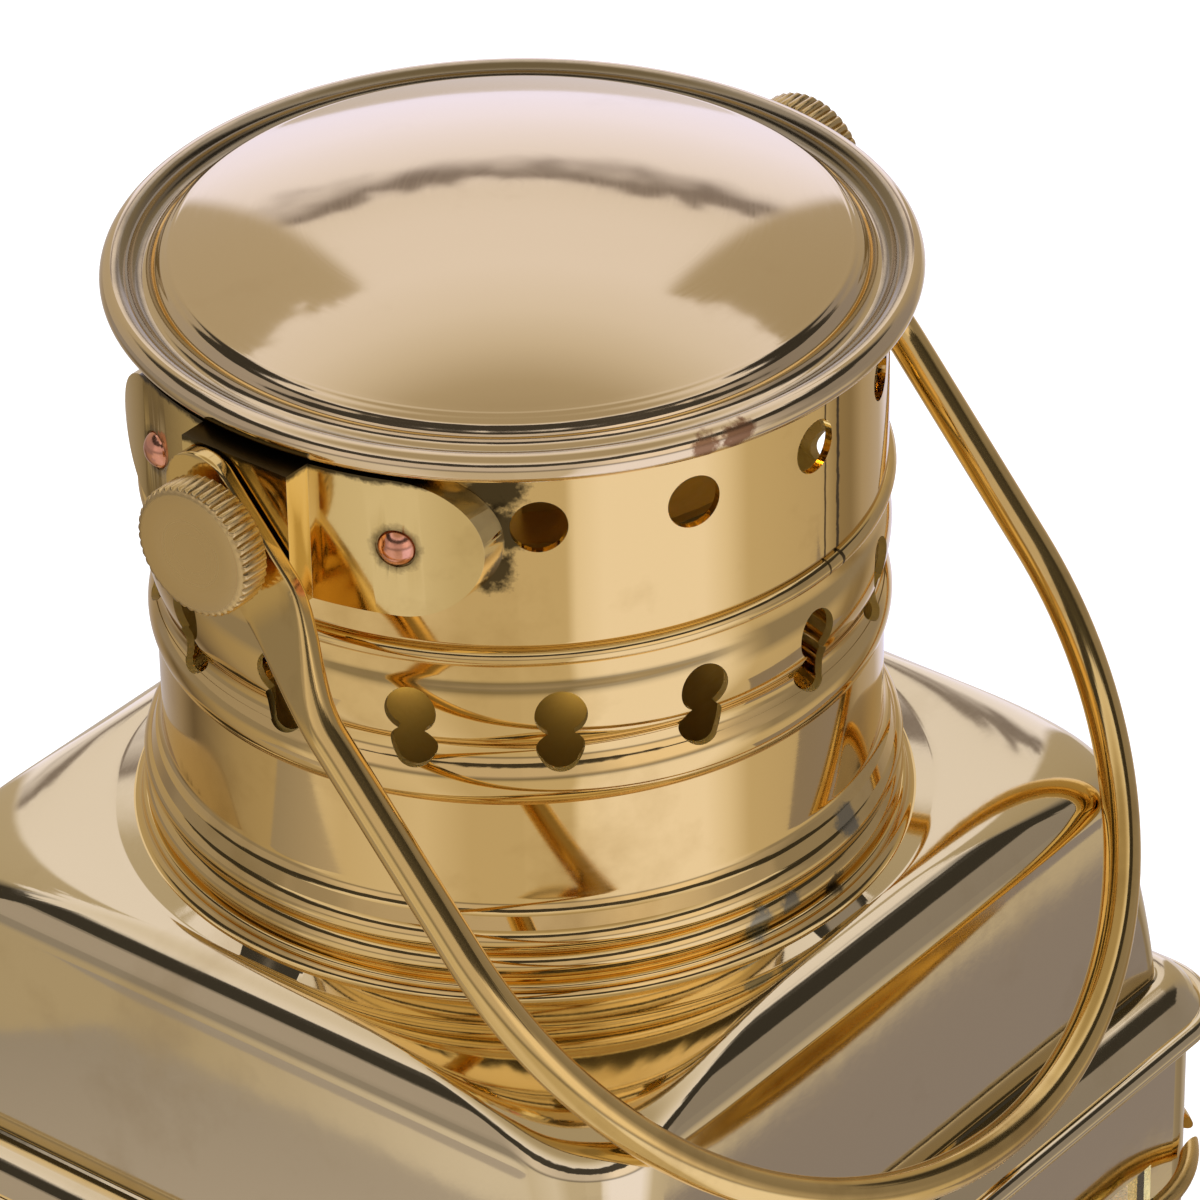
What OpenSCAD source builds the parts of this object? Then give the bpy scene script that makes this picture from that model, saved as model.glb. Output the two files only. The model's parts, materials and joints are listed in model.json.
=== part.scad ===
// Brass oil lantern: square glazed body, domed roof, round vented chimney, folding bail.
// Millimetres, +Z up. The origin is the centre of the face that the lantern stands on.
// X is the bail's pivot axis, the door is on the +Y side, the folded bail lies on the -Y side.

/* [Chimney] */
// How far the cap's rolled rim stands out past the sleeve
cap_over = 4.2; // [3.8:0.1:6]
// Radius of the roll along the cap's edge
cap_bead_r = 1.8; // [1.4:0.1:2]
// Height of the cap's crown above its rim
crown_h = 10.5; // [8:0.5:12]
// Distance from the sleeve's face in to where the cap's crown meets its ridged shoulder
crown_in = 4.8; // [4:0.1:5.4]
// Outer radius of the chimney's upper sleeve
sleeve_r = 45.8; // [44:0.1:46.5]
// Height of the upper sleeve, from the thin bead to the cap's rim
sleeve_h = 29; // [26:0.5:34]
// Height of the lower drum, from the roof's collar to the sleeve
drum_h = 44.3; // [42:0.5:50]
// Thickness of the sheet brass
sheet = 1; // [0.8:0.1:1.2]
// Radius of a vent in the upper row
vent_r = 3.45; // [2.5:0.05:3.6]
// Depth of the upper vents below the cap's rim
vent_drop = 9.7; // [9:0.1:12]
// Number of upper vents between the two brackets
vent_count = 5; // [3:1:5]
// Angle between neighbouring upper vents
vent_step = 23.8; // [20:0.1:24]
// Number of double vents round the lower drum
slot_count = 16; // [12:1:18]
// Radius of a double vent's upper hole
slot_r = 3.2; // [2:0.1:3.4]
// Distance between a double vent's two holes
slot_pitch = 5.2; // [4.5:0.1:6]

/* [Bail] */
// Diameter of the bail's rod
bail_d = 4.8; // [4:0.1:6]
// Distance from the brackets' raised faces out to the middle of each arm of the bail
bail_out = 5.4; // [5:0.1:8]
// Length of the bail's straight arm, from its pivot to the bend
bail_arm = 57.2; // [50:0.5:65]
// Depth of the bail's pivot below the cap's rim
pivot_drop = 11.6; // [11:0.1:14]
// Angle of the folded bail below the horizontal
fold_angle = 49.2; // [30:0.2:49.2]
// Width of the flat end of each arm
eye_w = 10.4; // [9:0.1:12]
// Reach of the flat end past its pivot
eye_tip = 10.6; // [8:0.1:12]
// Height of a bracket's strap
strap_h = 18.5; // [16:0.5:20]
// Thickness of a bracket's strap
strap_t = 3; // [2:0.1:3.5]
// Angle from a bracket's middle to its rivet
rivet_angle = 22.3; // [20:0.1:26]
// Radius of a copper rivet's head
rivet_r = 2.35; // [2:0.05:3]
// Width of a bracket's raised middle
boss_w = 16; // [12:0.5:18]
// Distance from the sleeve's face out to the raised middle's face
boss_out = 6.2; // [5.4:0.1:8]
// Radius of a thumb screw's head
knob_r = 8.4; // [7:0.1:9]
// Length of a thumb screw's head
knob_t = 4.5; // [4:0.1:6]
// Number of grooves in a thumb screw's straight knurl
knurl_count = 44; // [30:1:48]
// Diameter of a thumb screw's shank
shank_d = 5; // [4:0.5:6]

/* [Roof] */
// Height from the eave to the chimney's collar
roof_h = 37.5; // [30:0.5:50]
// Half of the roof's width at its shoulder
shoulder_half = 57.2; // [55:0.1:60]
// Radius of the roof's shoulder in section
shoulder_r = 7; // [4:0.5:9]
// Half of the roof's width at the eave
eave_half = 59; // [58:0.1:62]
// Radius of the roof's corners at the shoulder, in plan
roof_corner_r = 12; // [8:0.5:16]
// Width that the eave moulding stands out from the body
eave_out = 3.5; // [2.5:0.1:4.5]
// Height of the eave moulding
eave_h = 8; // [7:0.1:10]
// Radius of the wired edge along the eave moulding
eave_bead_r = 1.4; // [1:0.1:1.8]

/* [Body] */
// Height from the windows' upper edge to the eave
head_h = 24.5; // [22:0.5:54]
// Half of the width of the body
body_half = 63.5; // [63:0.1:64]
// Radius of the body's corners
body_corner_r = 8.5; // [7:0.1:8.5]
// Height of the base moulding
skirt_h = 14; // [10:0.5:18]
// Width that the base moulding stands out from the body
skirt_out = 5.5; // [3.5:0.1:7]
// Width of a window
window_w = 100; // [90:1:100]
// Height of a window
window_h = 107.5; // [100:0.5:110]
// Height of the windows' lower edge
window_z = 38; // [36:1:42]
// Thickness of the glass
glass_t = 2; // [1.5:0.1:3]
// How far a pane reaches behind its opening
glass_lap = 4; // [3:0.5:4.5]
// Diameter of a guard rod
guard_d = 2.6; // [2:0.1:3.2]
// Distance from the body's face to the middle of a guard rod
guard_out = 4; // [3.5:0.1:5]
// Radius that a guard rod's ends are bent back on
guard_bend = 20; // [12:0.5:24]
// Distance from the top and bottom guard rods to the edges of their window
guard_inset = 2.5; // [2:0.5:20]
// Number of guard rods on each side
guard_count = 3; // [2:1:4]
// Radius of an air hole in the lower band
air_r = 2.2; // [1.5:0.1:3]
// Number of air holes in each side's lower band
air_count = 7; // [3:1:7]
// Distance between neighbouring air holes
air_pitch = 11.5; // [8:0.5:12]

/* [Door] */
// Width of the door
door_w = 96; // [94:0.5:96]
// Thickness of the door's frame
door_t = 1.5; // [1.2:0.1:2]
// Width of the door's frame round its glass
door_border = 9; // [8:0.5:12]
// Outer radius of a hinge's knuckle
knuckle_r = 2.2; // [1.8:0.1:2.2]
// Height of one hinge
hinge_h = 18; // [12:1:24]
// Radius of the stud that the latch drops on
stud_r = 1.5; // [1.2:0.1:2]

/* [Lamp] */
// Radius of the oil font
font_r = 40; // [36:0.5:41]
// Height of the oil font
font_h = 28; // [24:0.5:32]
// Outer radius of the burner's air chamber
burner_r = 17; // [15:0.5:19]
// Width of the wick
wick_w = 16; // [12:0.5:18]
// Thickness of the wick
wick_t = 2.4; // [2:0.1:3]
// Radius of the spur wheels that lift the wick
spur_r = 3.6; // [3:0.1:4]
// Height of the lamp glass
lamp_glass_h = 84; // [60:1:90]
// Radius of the lamp glass at its widest
lamp_glass_r = 24; // [21:0.5:28]

/* [Hidden] */
$fn = 96;

// Clearance between pieces that move past each other
gap = 0.3;
// Running clearance round a pin or a shaft, on the radius
running = 0.08;
// Length that a cutter passes through the face it opens
past = 1;

// Cap, brackets and bail keep their distance from the sleeve, the eave its distance from the windows
cap_r = sleeve_r + cap_over;
crown_r = sleeve_r - crown_in;
boss_face = sleeve_r + boss_out;
bail_half = boss_face + bail_out;
eave_z = window_z + window_h + head_h;

// Heights along the chimney
collar_z = eave_z + roof_h;
collar_h = 2.2;
drum_z = collar_z + collar_h;
sleeve_z = drum_z + drum_h;
rim_z = sleeve_z + sleeve_h;
pivot_z = rim_z - pivot_drop;

// Places along the bail's pivot axis
washer_t = 0.8;
eye_t = 2.2;
eye_in = boss_face + gap;
washer_in = eye_in + eye_t + gap;
knob_in = washer_in + washer_t + gap;

brass = "#c9a24b";
brass_pale = "#d8bd7a";
copper = "#b8694a";
clear = [0.85, 0.95, 0.97, 0.35];
cotton = "#e8e0cc";

// Points of an arc in a plane, from one angle to another
function arc_points(centre, radius, from, to, steps) =
    [for (i = [0:steps]) let (a = from + (to - from) * i / steps)
        [centre[0] + radius * cos(a), centre[1] + radius * sin(a)]];

// Distance from the middle of a rounded square to its edge, in one direction
function square_reach(half, corner, angle) =
    let (
        folded = abs(((angle + 45) % 90 + 90) % 90 - 45),
        flat = half - corner
    )
    half * tan(folded) <= flat
        ? half / cos(folded)
        : let (b = flat * (cos(folded) + sin(folded)))
            b + sqrt(max(0, b * b - 2 * flat * flat + corner * corner));

// A square block with rounded upright edges, on the plane z = 0
module rounded_block(half, corner, height) {
    translate([-half, corner - half, 0]) cube([2 * half, 2 * (half - corner), height]);
    translate([corner - half, -half, 0]) cube([2 * (half - corner), 2 * half, height]);
    for (sx = [-1, 1], sy = [-1, 1])
        translate([sx * (half - corner), sy * (half - corner), 0]) cylinder(r = corner, h = height);
}

// A moulding that runs round a rounded square: the section's x is measured from the straight sides
module square_moulding(half, corner, section) {
    run = 2 * (half - corner);
    for (turn = [0:90:270]) rotate(turn) {
        translate([half - corner, run / 2, 0])
            rotate([90, 0, 0]) linear_extrude(run)
                polygon([for (p = section) [p[0] + corner, p[1]]]);
        translate([half - corner, half - corner, 0])
            rotate_extrude(angle = 90) polygon([for (p = section) [p[0] + corner, p[1]]]);
    }
}

// A flat frame standing in the XZ plane, its back at y = 0
module upright_frame(width, height, border, thickness) {
    difference() {
        translate([-width / 2, 0, 0]) cube([width, thickness, height]);
        translate([border - width / 2, -past, border])
            cube([width - 2 * border, thickness + 2 * past, height - 2 * border]);
    }
}

// Puts a piece made for the front (-Y) side on another side
module on_side(side) {
    rotate(side == "front" ? 0 : side == "right" ? 90 : side == "back" ? 180 : 270) children();
}

/* Base and body */

// Height of the step inside the base moulding that the floor rests on
ledge_drop = 4;
module base_skirt() {
    inner = -5;
    cove_r = skirt_out - 1.5;
    color(brass) square_moulding(body_half, body_corner_r, concat(
        [[inner, 0], [skirt_out, 0], [skirt_out, 3]],
        arc_points([skirt_out - 1.5, 4.5], 1.5, -60, 90, 8),
        arc_points([skirt_out - 1, 6.5 + cove_r], cove_r, -90, -165, 8),
        [[1.2, skirt_h], [gap, skirt_h], [gap, skirt_h - ledge_drop], [inner, skirt_h - ledge_drop]]));
}

floor_z = skirt_h - ledge_drop;
floor_t = 1.2;
module base_floor() {
    color(brass) difference() {
        translate([0, 0, floor_z]) rounded_block(body_half, body_corner_r, floor_t);
        for (turn = [0:45:315]) rotate(turn)
            translate([font_r + 8, 0, floor_z - past]) cylinder(r = air_r, h = floor_t + 2 * past);
    }
}

frame_z = floor_z + floor_t;
frame_top = eave_z - eave_h;
door_open_w = door_w - 8;
door_z = skirt_h + 1;
door_h = window_z + window_h + 8 - door_z;
air_z = (frame_z + window_z) / 2;

// One row of cutters for a side's air holes, on the front face
module air_row() {
    for (i = [0:air_count - 1]) translate([(i - (air_count - 1) / 2) * air_pitch, -body_half - 5, air_z])
        rotate([-90, 0, 0]) cylinder(r = air_r, h = 10);
}

module body_frame() {
    color(brass) difference() {
        translate([0, 0, frame_z]) rounded_block(body_half, body_corner_r, frame_top - frame_z);
        translate([0, 0, frame_z - past])
            rounded_block(body_half - sheet, body_corner_r - sheet, frame_top - frame_z + 2 * past);
        for (side = ["front", "left", "right"]) on_side(side)
            translate([-window_w / 2, -body_half - past, window_z])
                cube([window_w, 2 * past + 5, window_h]);
        on_side("back") translate([-door_open_w / 2, -body_half - past, door_z + 4])
            cube([door_open_w, 2 * past + 5, door_h - 8]);
        for (side = ["front", "left", "right"]) on_side(side) air_row();
    }
}

pane_w = window_w + 2 * glass_lap;
pane_h = window_h + 2 * glass_lap;
pane_in = body_half - sheet;
module window_pane(side) {
    color(clear) on_side(side)
        translate([-pane_w / 2, -pane_in, window_z - glass_lap]) cube([pane_w, glass_t, pane_h]);
}

bead_t = 1.5;
module glass_bead(side) {
    color(brass_pale) on_side(side)
        translate([0, glass_t - pane_in, window_z - glass_lap])
            upright_frame(pane_w, pane_h, glass_lap + 0.5, bead_t);
}

// Heights of the guard rods above the window's lower edge
guard_zs = [for (i = [0:guard_count - 1])
    guard_inset + (window_h - 2 * guard_inset) * i / (guard_count - 1)];
guard_turn = acos(1 - guard_out / guard_bend);
guard_run = guard_bend * sin(guard_turn);

// One guard rod: a straight run in front of a face, both ends bent back on to the face
module guard_rod(half) {
    difference() {
        union() {
            translate([guard_run - half, 0, 0]) rotate([0, 90, 0])
                cylinder(d = guard_d, h = 2 * (half - guard_run), $fn = 48);
            for (s = [0, 1]) mirror([s, 0, 0])
                translate([half - guard_run, guard_bend, 0]) rotate(-90)
                    rotate_extrude(angle = guard_turn + 8) translate([guard_bend, 0])
                        circle(d = guard_d, $fn = 48);
        }
        translate([-half - 10, guard_out, -guard_d]) cube([2 * half + 20, 10, 2 * guard_d]);
    }
}

guard_half = body_half - 4.5;
module guard_rods(side) {
    color(brass) on_side(side) for (z = guard_zs)
        translate([0, -body_half - guard_out, window_z + z]) guard_rod(guard_half);
}

/* Roof */

// Moulding between the body and the roof: a rounded flange that ends in a wired edge
wall_in = body_half - sheet - eave_half;
eave_corner_r = 4;
module eave_moulding() {
    reach = body_half - eave_half + eave_out;
    flange_r = 5.6;
    bead = [reach - eave_bead_r, eave_h - 5.5];
    flange = [reach - flange_r - 2, eave_h - 5.8];
    color(brass) translate([0, 0, frame_top]) square_moulding(eave_half, eave_corner_r, concat(
        [[wall_in - 0.5, 0], [wall_in + sheet + 0.2, 0]],
        arc_points(bead, eave_bead_r, -120, 110, 12),
        arc_points(flange, flange_r, 27, 90, 10),
        [[0.1, eave_h], [-1.4, eave_h], [-1.4, eave_h - 1.2]],
        arc_points(flange, flange_r - sheet, 90, 57, 6),
        [[wall_in - 0.5, eave_h - 2.4]]));
}

// Stations down the roof, each a half width, a height above the eave and a corner radius in plan
plateau_half = shoulder_half - shoulder_r;
shoulder_z = roof_h - 0.8;
roof_hole_r = sleeve_r - 4.8;
collar_foot_r = sleeve_r + 3.7;
collar_neck_r = sleeve_r - 4;
function roof_stations(inset) = concat(
    [[roof_hole_r, roof_h - inset, roof_hole_r], [collar_foot_r, roof_h - inset, collar_foot_r]],
    [for (i = [0:8]) let (a = 90 * i / 8)
        [plateau_half + (shoulder_r - inset) * sin(a),
         shoulder_z - shoulder_r + (shoulder_r - inset) * cos(a),
         roof_corner_r + (plateau_half - roof_corner_r) * pow(1 - i / 8, 2) * 0.9]],
    [for (i = [1:6]) let (t = i / 6)
        [shoulder_half - inset + (eave_half - shoulder_half) * sin(90 * t),
         (shoulder_z - shoulder_r) * (1 - t),
         roof_corner_r + (eave_corner_r - roof_corner_r) * t]]);

roof_sides = 72;
module roof_hood() {
    outer = roof_stations(0);
    inner = roof_stations(sheet);
    rings = concat(outer, [for (i = [len(inner) - 1:-1:0]) inner[i]]);
    points = [for (s = rings, k = [0:roof_sides - 1])
        let (a = 360 * k / roof_sides, r = square_reach(s[0], s[2], a))
        [r * cos(a), r * sin(a), eave_z + s[1]]];
    total = len(rings);
    faces = [for (i = [0:total - 1], k = [0:roof_sides - 1], half = [0, 1])
        let (
            j = (i + 1) % total,
            n = (k + 1) % roof_sides,
            a = i * roof_sides + k,
            b = i * roof_sides + n,
            c = j * roof_sides + n,
            d = j * roof_sides + k
        )
        half == 0 ? [a, b, c] : [a, c, d]];
    color(brass) polyhedron(points, faces, convexity = 6);
}

module roof_collar() {
    color(brass) translate([0, 0, collar_z]) rotate_extrude() polygon(concat(
        [[collar_neck_r, 0], [collar_foot_r, 0]],
        arc_points([collar_foot_r, 1.3], 1.3, -90, -165, 6),
        arc_points([collar_foot_r - 1.8, 1.55], 0.65, -60, 90, 8),
        [[collar_neck_r, collar_h]]));
}

/* Chimney */

drum_r = sleeve_r - 0.5;

// Outer outline of the lower drum, from its foot up
function drum_outline() = concat(
    [[drum_r + 1.6, 0]],
    arc_points([drum_r + 0.7, 1.9], 1.9, -60, 60, 8),
    arc_points([drum_r + 0.6, 5.5], 1.9, -75, 60, 8),
    arc_points([drum_r + 2.2, 10.6], 2.2, 235, 180, 6),
    [[drum_r, 24.4]],
    arc_points([drum_r - 3.8, 27.3], 4.8, -35, 35, 10),
    arc_points([drum_r + 2.1, 31.6], 2.6, 218, 152, 8),
    arc_points([drum_r - 11.3, 37.6], 12.2, -19, 19, 10),
    [[drum_r, drum_h - 1.8]],
    [[drum_r, drum_h]]);

module drum_shell() {
    outline = drum_outline();
    inside = [for (i = [len(outline) - 1:-1:0]) [outline[i][0] - sheet, outline[i][1]]];
    translate([0, 0, drum_z]) rotate_extrude() polygon(concat(outline, inside));
}

slot_z = drum_z + 37.4;
module chimney_drum() {
    color(brass) difference() {
        drum_shell();
        for (i = [0:slot_count - 1]) rotate(i * 360 / slot_count) {
            translate([drum_r - 5, 0, slot_z]) rotate([0, 90, 0]) cylinder(r = slot_r, h = 10);
            translate([drum_r - 5, 0, slot_z - slot_pitch]) rotate([0, 90, 0])
                cylinder(r = slot_r * 0.92, h = 10);
        }
    }
}

// Depth of the sleeve's top edge below the cap's rim
cap_seat = 1.9;
module chimney_sleeve() {
    color(brass) translate([0, 0, sleeve_z]) difference() {
        rotate_extrude() polygon(concat(
            [[sleeve_r - sheet, 0]],
            arc_points([sleeve_r - 0.3, 1.2], 1.2, -90, 90, 10),
            [[sleeve_r, 2.9], [sleeve_r, sleeve_h - cap_seat], [sleeve_r - sheet, sleeve_h - cap_seat]]));
        for (side = [90, 270], i = [0:vent_count - 1])
            rotate(side + (i - (vent_count - 1) / 2) * vent_step)
                translate([sleeve_r - 5, 0, sleeve_h - vent_drop]) rotate([0, 90, 0])
                    cylinder(r = vent_r, h = 10);
    }
}

// Height of the crown's edge above the rim
crown_foot = 3.3;
// Radius of the ball that the crown is part of, and the crown's half angle
crown_rise = crown_h - crown_foot;
crown_ball = (crown_r * crown_r + crown_rise * crown_rise) / (2 * crown_rise);
crown_a = asin(crown_r / crown_ball);
// Angle at which the shoulder drops into the channel, and the fine ridges along the shoulder
drop_a = 20;
ridge_count = 3;
ridge_h = 0.12;
ridge_steps = 18;
module chimney_cap() {
    bead_x = cap_r - cap_bead_r;
    channel_r = 1.5;
    channel = [bead_x - 3.1, 1.55];
    drop_x = channel[0] - channel_r - 0.15;
    bend = (drop_x - crown_r) / (cos(drop_a) - sin(crown_a));
    shoulder = [crown_r - bend * sin(crown_a), crown_foot - bend * cos(crown_a)];
    top = concat(
        arc_points([bead_x, 0], cap_bead_r, -60, 140, 16),
        arc_points(channel, channel_r, -15, -165, 10),
        [for (i = [0:ridge_steps - 1])
            let (
                a = drop_a + (90 - crown_a - drop_a) * i / ridge_steps,
                r = bend + ridge_h * (1 - cos(360 * ridge_count * i / ridge_steps)) / 2
            )
            [shoulder[0] + r * cos(a), shoulder[1] + r * sin(a)]],
        arc_points([0, crown_h - crown_ball], crown_ball, 90 - crown_a, 90, 16));
    color(brass) translate([0, 0, rim_z]) rotate_extrude() cap_section(top);
}

// Half section of the cap: roll, channel, ridged shoulder, crown, and a spigot inside the sleeve
module cap_section(top) {
    spigot_out = sleeve_r - sheet - running;
    spigot_in = spigot_out - sheet;
    polygon(concat(
        top,
        arc_points([0, crown_h - crown_ball], crown_ball - sheet, 90, 90 - crown_a, 16),
        [[spigot_in, -1.4], [spigot_in, -6], [spigot_out, -6], [spigot_out, -cap_seat],
         [sleeve_r + 0.8, -cap_seat]]));
}

tube_r = 30;
module draught_tube() {
    color(brass_pale) translate([0, 0, collar_z - sheet - 6]) rotate_extrude() polygon([
        [tube_r, 6 - sheet], [roof_hole_r + 3, 6 - sheet], [roof_hole_r + 3, 6], [tube_r + sheet, 6],
        [tube_r + sheet, 46], [tube_r, 46]]);
}

baffle_z = rim_z - 19;
module wind_baffle() {
    leg = [29, -2.5, 1.2, 5];
    leg_r = norm([leg[0] + leg[2], leg[1]]);
    leg_top = rim_z + crown_h - crown_ball + sqrt(pow(crown_ball - sheet, 2) - leg_r * leg_r);
    color(brass_pale) {
        translate([0, 0, baffle_z]) rotate_extrude() polygon([
            [0, 5], [36, 0], [36, sheet], [0, 5 + sheet]]);
        for (turn = [45:90:315]) rotate(turn)
            translate([leg[0], leg[1], baffle_z + 1.5]) cube([leg[2], leg[3], leg_top - baffle_z - 1.5]);
    }
}

/* Bail, brackets and thumb screws */

// Turns a piece made for the right (+X) side to the side named by s, 1 or -1
module at_side(s) {
    rotate(s > 0 ? 0 : 180) children();
}

strap_in = sleeve_r + 0.05;
// Distance from the chimney's axis to the flat that a rivet's head sits on
rivet_seat = strap_in + strap_t - 0.25;
module bail_bracket(s) {
    ear_x = (strap_in + strap_t) * sin(rivet_angle);
    boss_base = strap_in * cos(asin(boss_w / 2 / strap_in));
    color(brass_pale) at_side(s) translate([0, 0, pivot_z]) difference() {
        union() {
            intersection() {
                translate([0, 0, -strap_h]) difference() {
                    cylinder(r = strap_in + strap_t, h = 2 * strap_h);
                    translate([0, 0, -past]) cylinder(r = strap_in, h = 2 * strap_h + 2 * past);
                }
                union() {
                    translate([30, -ear_x, -strap_h / 2]) cube([30, 2 * ear_x, strap_h]);
                    for (e = [-1, 1]) translate([30, e * ear_x, 0])
                        rotate([0, 90, 0]) cylinder(d = strap_h, h = 30);
                }
            }
            translate([boss_base, -boss_w / 2, -strap_h / 2])
                cube([boss_face - boss_base, boss_w, strap_h]);
        }
        translate([0, 0, -strap_h]) cylinder(r = strap_in, h = 2 * strap_h);
        translate([40, 0, 0]) rotate([0, 90, 0]) cylinder(d = shank_d + 2 * running, h = 20);
        for (e = [-1, 1]) rotate(e * rivet_angle) {
            translate([40, 0, 0]) rotate([0, 90, 0]) cylinder(r = rivet_r * 0.55, h = 20);
            translate([rivet_seat, 0, 0]) rotate([0, 90, 0]) cylinder(r = rivet_r + 0.15, h = 10);
        }
    }
}

module bracket_rivets() {
    shank_r = rivet_r * 0.55 - 0.05;
    cap_h = 1.6;
    ball = (rivet_r * rivet_r + cap_h * cap_h) / (2 * cap_h);
    color(copper) for (s = [0, 180], e = [-1, 1])
        rotate(s + e * rivet_angle) translate([0, 0, pivot_z]) {
            translate([rivet_seat, 0, 0]) rotate([0, 90, 0]) rotate_extrude($fn = 48)
                polygon(concat([[0, 0], [rivet_r, 0]],
                    arc_points([0, cap_h - ball], ball, 90 - asin(rivet_r / ball), 90, 8)));
            translate([strap_in, 0, 0]) rotate([0, 90, 0])
                cylinder(r = shank_r, h = rivet_seat - strap_in + 0.1);
        }
}

module screw_washer(s) {
    color(brass_pale) at_side(s) translate([washer_in, 0, pivot_z]) rotate([0, 90, 0]) difference() {
        cylinder(r = shank_d / 2 + 2.6, h = washer_t);
        translate([0, 0, -past]) cylinder(d = shank_d + 2 * running, h = washer_t + 2 * past);
    }
}

// Thumb screw: a knurled head with flat faces, and a shank that reaches through the bracket
module thumb_screw(s) {
    shank_in = sleeve_r + gap;
    groove_r = PI * knob_r / knurl_count * 0.5;
    edge = 0.5;
    color(brass_pale) at_side(s) translate([knob_in, 0, pivot_z]) rotate([0, 90, 0]) {
        difference() {
            rotate_extrude() polygon([[0, 0], [knob_r - edge, 0], [knob_r, edge],
                [knob_r, knob_t - edge], [knob_r - edge, knob_t], [0, knob_t]]);
            for (i = [0:knurl_count - 1]) rotate(i * 360 / knurl_count)
                translate([knob_r + groove_r * 0.35, 0, -past])
                    cylinder(r = groove_r, h = knob_t + 2 * past, $fn = 4);
        }
        translate([0, 0, shank_in - knob_in]) cylinder(d = shank_d, h = knob_in - shank_in);
    }
}

// The bail in its own plane: x along the pivot axis, y from the pivot to the grip
strip_len = 15;
blend_end = 24;
module bail_flat() {
    rod_r = bail_d / 2;
    half_w = eye_w / 2;
    for (s = [0, 1]) mirror([s, 0, 0]) {
        difference() {
            union() {
                translate([eye_in, half_w - eye_tip, 0]) rotate([0, 90, 0]) cylinder(r = half_w, h = eye_t);
                translate([eye_in, half_w - eye_tip, -half_w]) cube([eye_t, strip_len - half_w + eye_tip, eye_w]);
            }
            translate([eye_in - past, 0, 0]) rotate([0, 90, 0])
                cylinder(d = shank_d + 2 * gap, h = eye_t + 2 * past);
        }
        hull() {
            translate([eye_in, strip_len - 3, -half_w]) cube([eye_t, 3, eye_w]);
            translate([bail_half, blend_end, 0]) sphere(r = rod_r, $fn = 32);
        }
        translate([bail_half, blend_end, 0]) rotate([-90, 0, 0])
            cylinder(r = rod_r, h = bail_arm - blend_end);
    }
    translate([0, bail_arm, 0]) rotate_extrude(angle = 180)
        translate([bail_half, 0]) circle(r = rod_r, $fn = 48);
}

module bail() {
    color(brass) translate([0, 0, pivot_z]) rotate([180 + fold_angle, 0, 0]) bail_flat();
}

/* Door */

door_y = body_half + gap;
hinge_x = -door_w / 2 - knuckle_r - 0.8;
hinge_y = door_y + knuckle_r;
leaf_t = 1;
hinge_zs = [window_z + 12, window_z + window_h - 12 - hinge_h];

// The door's own window, and the pane behind it
door_window_w = door_w - 2 * door_border;
door_window_h = window_h - 2;
door_window_z = window_z + 1;
door_lap = 3;
module door_frame() {
    color(brass) difference() {
        translate([-door_w / 2, door_y, door_z]) cube([door_w, door_t, door_h]);
        translate([-door_window_w / 2, door_y - past, door_window_z])
            cube([door_window_w, door_t + 2 * past, door_window_h]);
        on_side("back") air_row();
    }
}

door_pane_w = door_window_w + 2 * door_lap;
door_pane_h = door_window_h + 2 * door_lap;
module door_glass() {
    color(clear) translate([-door_pane_w / 2, door_y - glass_t, door_window_z - door_lap])
        cube([door_pane_w, glass_t, door_pane_h]);
}

module door_bead() {
    color(brass_pale) translate([0, door_y - glass_t - bead_t, door_window_z - door_lap])
        upright_frame(door_pane_w, door_pane_h, door_lap, bead_t);
}

module door_guard_rods() {
    color(brass) on_side("back") for (z = guard_zs)
        translate([0, -door_y - door_t - guard_out, window_z + z]) guard_rod(latch_x);
}

module knuckle(z, height) {
    translate([hinge_x, hinge_y, z]) cylinder(r = knuckle_r, h = height);
}

module pin_hole(z, clearance) {
    translate([hinge_x, hinge_y, z - past]) cylinder(r = pin_r + clearance, h = hinge_h + 2 * past);
}

pin_r = 1;
third = hinge_h / 3;
module hinge_leaf_body() {
    color(brass_pale) for (z = hinge_zs) difference() {
        union() {
            for (k = [0, 2]) {
                knuckle(z + k * third, third - gap / 2 * (k == 0 ? 1 : 0));
                translate([hinge_x - knuckle_r - gap, body_half, z + k * third + (k == 2 ? gap / 2 : 0)])
                    cube([knuckle_r + gap, leaf_t, third - gap / 2]);
            }
            translate([-body_half + body_corner_r - 1, body_half, z])
                cube([hinge_x - knuckle_r - gap + body_half - body_corner_r + 1, leaf_t, hinge_h]);
        }
        pin_hole(z, 0);
        translate([hinge_x, hinge_y, z + third - gap / 2]) cylinder(r = knuckle_r + gap, h = third + gap);
    }
}

module hinge_leaf_door() {
    leaf_y = door_y + door_t;
    color(brass_pale) for (z = hinge_zs) difference() {
        union() {
            knuckle(z + third, third);
            translate([hinge_x, leaf_y, z + third]) cube([knuckle_r + 1, leaf_t, third]);
            translate([hinge_x + knuckle_r + gap, leaf_y, z]) cube([8, leaf_t, hinge_h]);
        }
        pin_hole(z, running);
        for (k = [0, 2]) translate([hinge_x, hinge_y, z + k * third - (k == 0 ? past : gap / 2 - gap)])
            cylinder(r = knuckle_r + gap, h = third + (k == 0 ? past - gap / 2 + gap : past));
    }
}

module hinge_pins() {
    color(brass) for (z = hinge_zs) translate([hinge_x, hinge_y, z - 1.2]) {
        cylinder(r = pin_r, h = hinge_h + 1.2);
        cylinder(r = pin_r + 0.6, h = 1.2);
    }
}

latch_z = window_z + 28;
latch_x = door_w / 2 - door_border / 2;
stud_x = door_w / 2 + 3.4;
hook_y = door_y + door_t + gap;
hook_t = 1.5;
module latch_stud() {
    color(brass_pale) translate([stud_x, body_half, latch_z]) rotate([-90, 0, 0]) {
        cylinder(r = stud_r, h = hook_y + hook_t + gap - body_half);
        translate([0, 0, hook_y + hook_t + gap - body_half]) cylinder(r = stud_r + 1, h = 1.2);
    }
}

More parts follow.
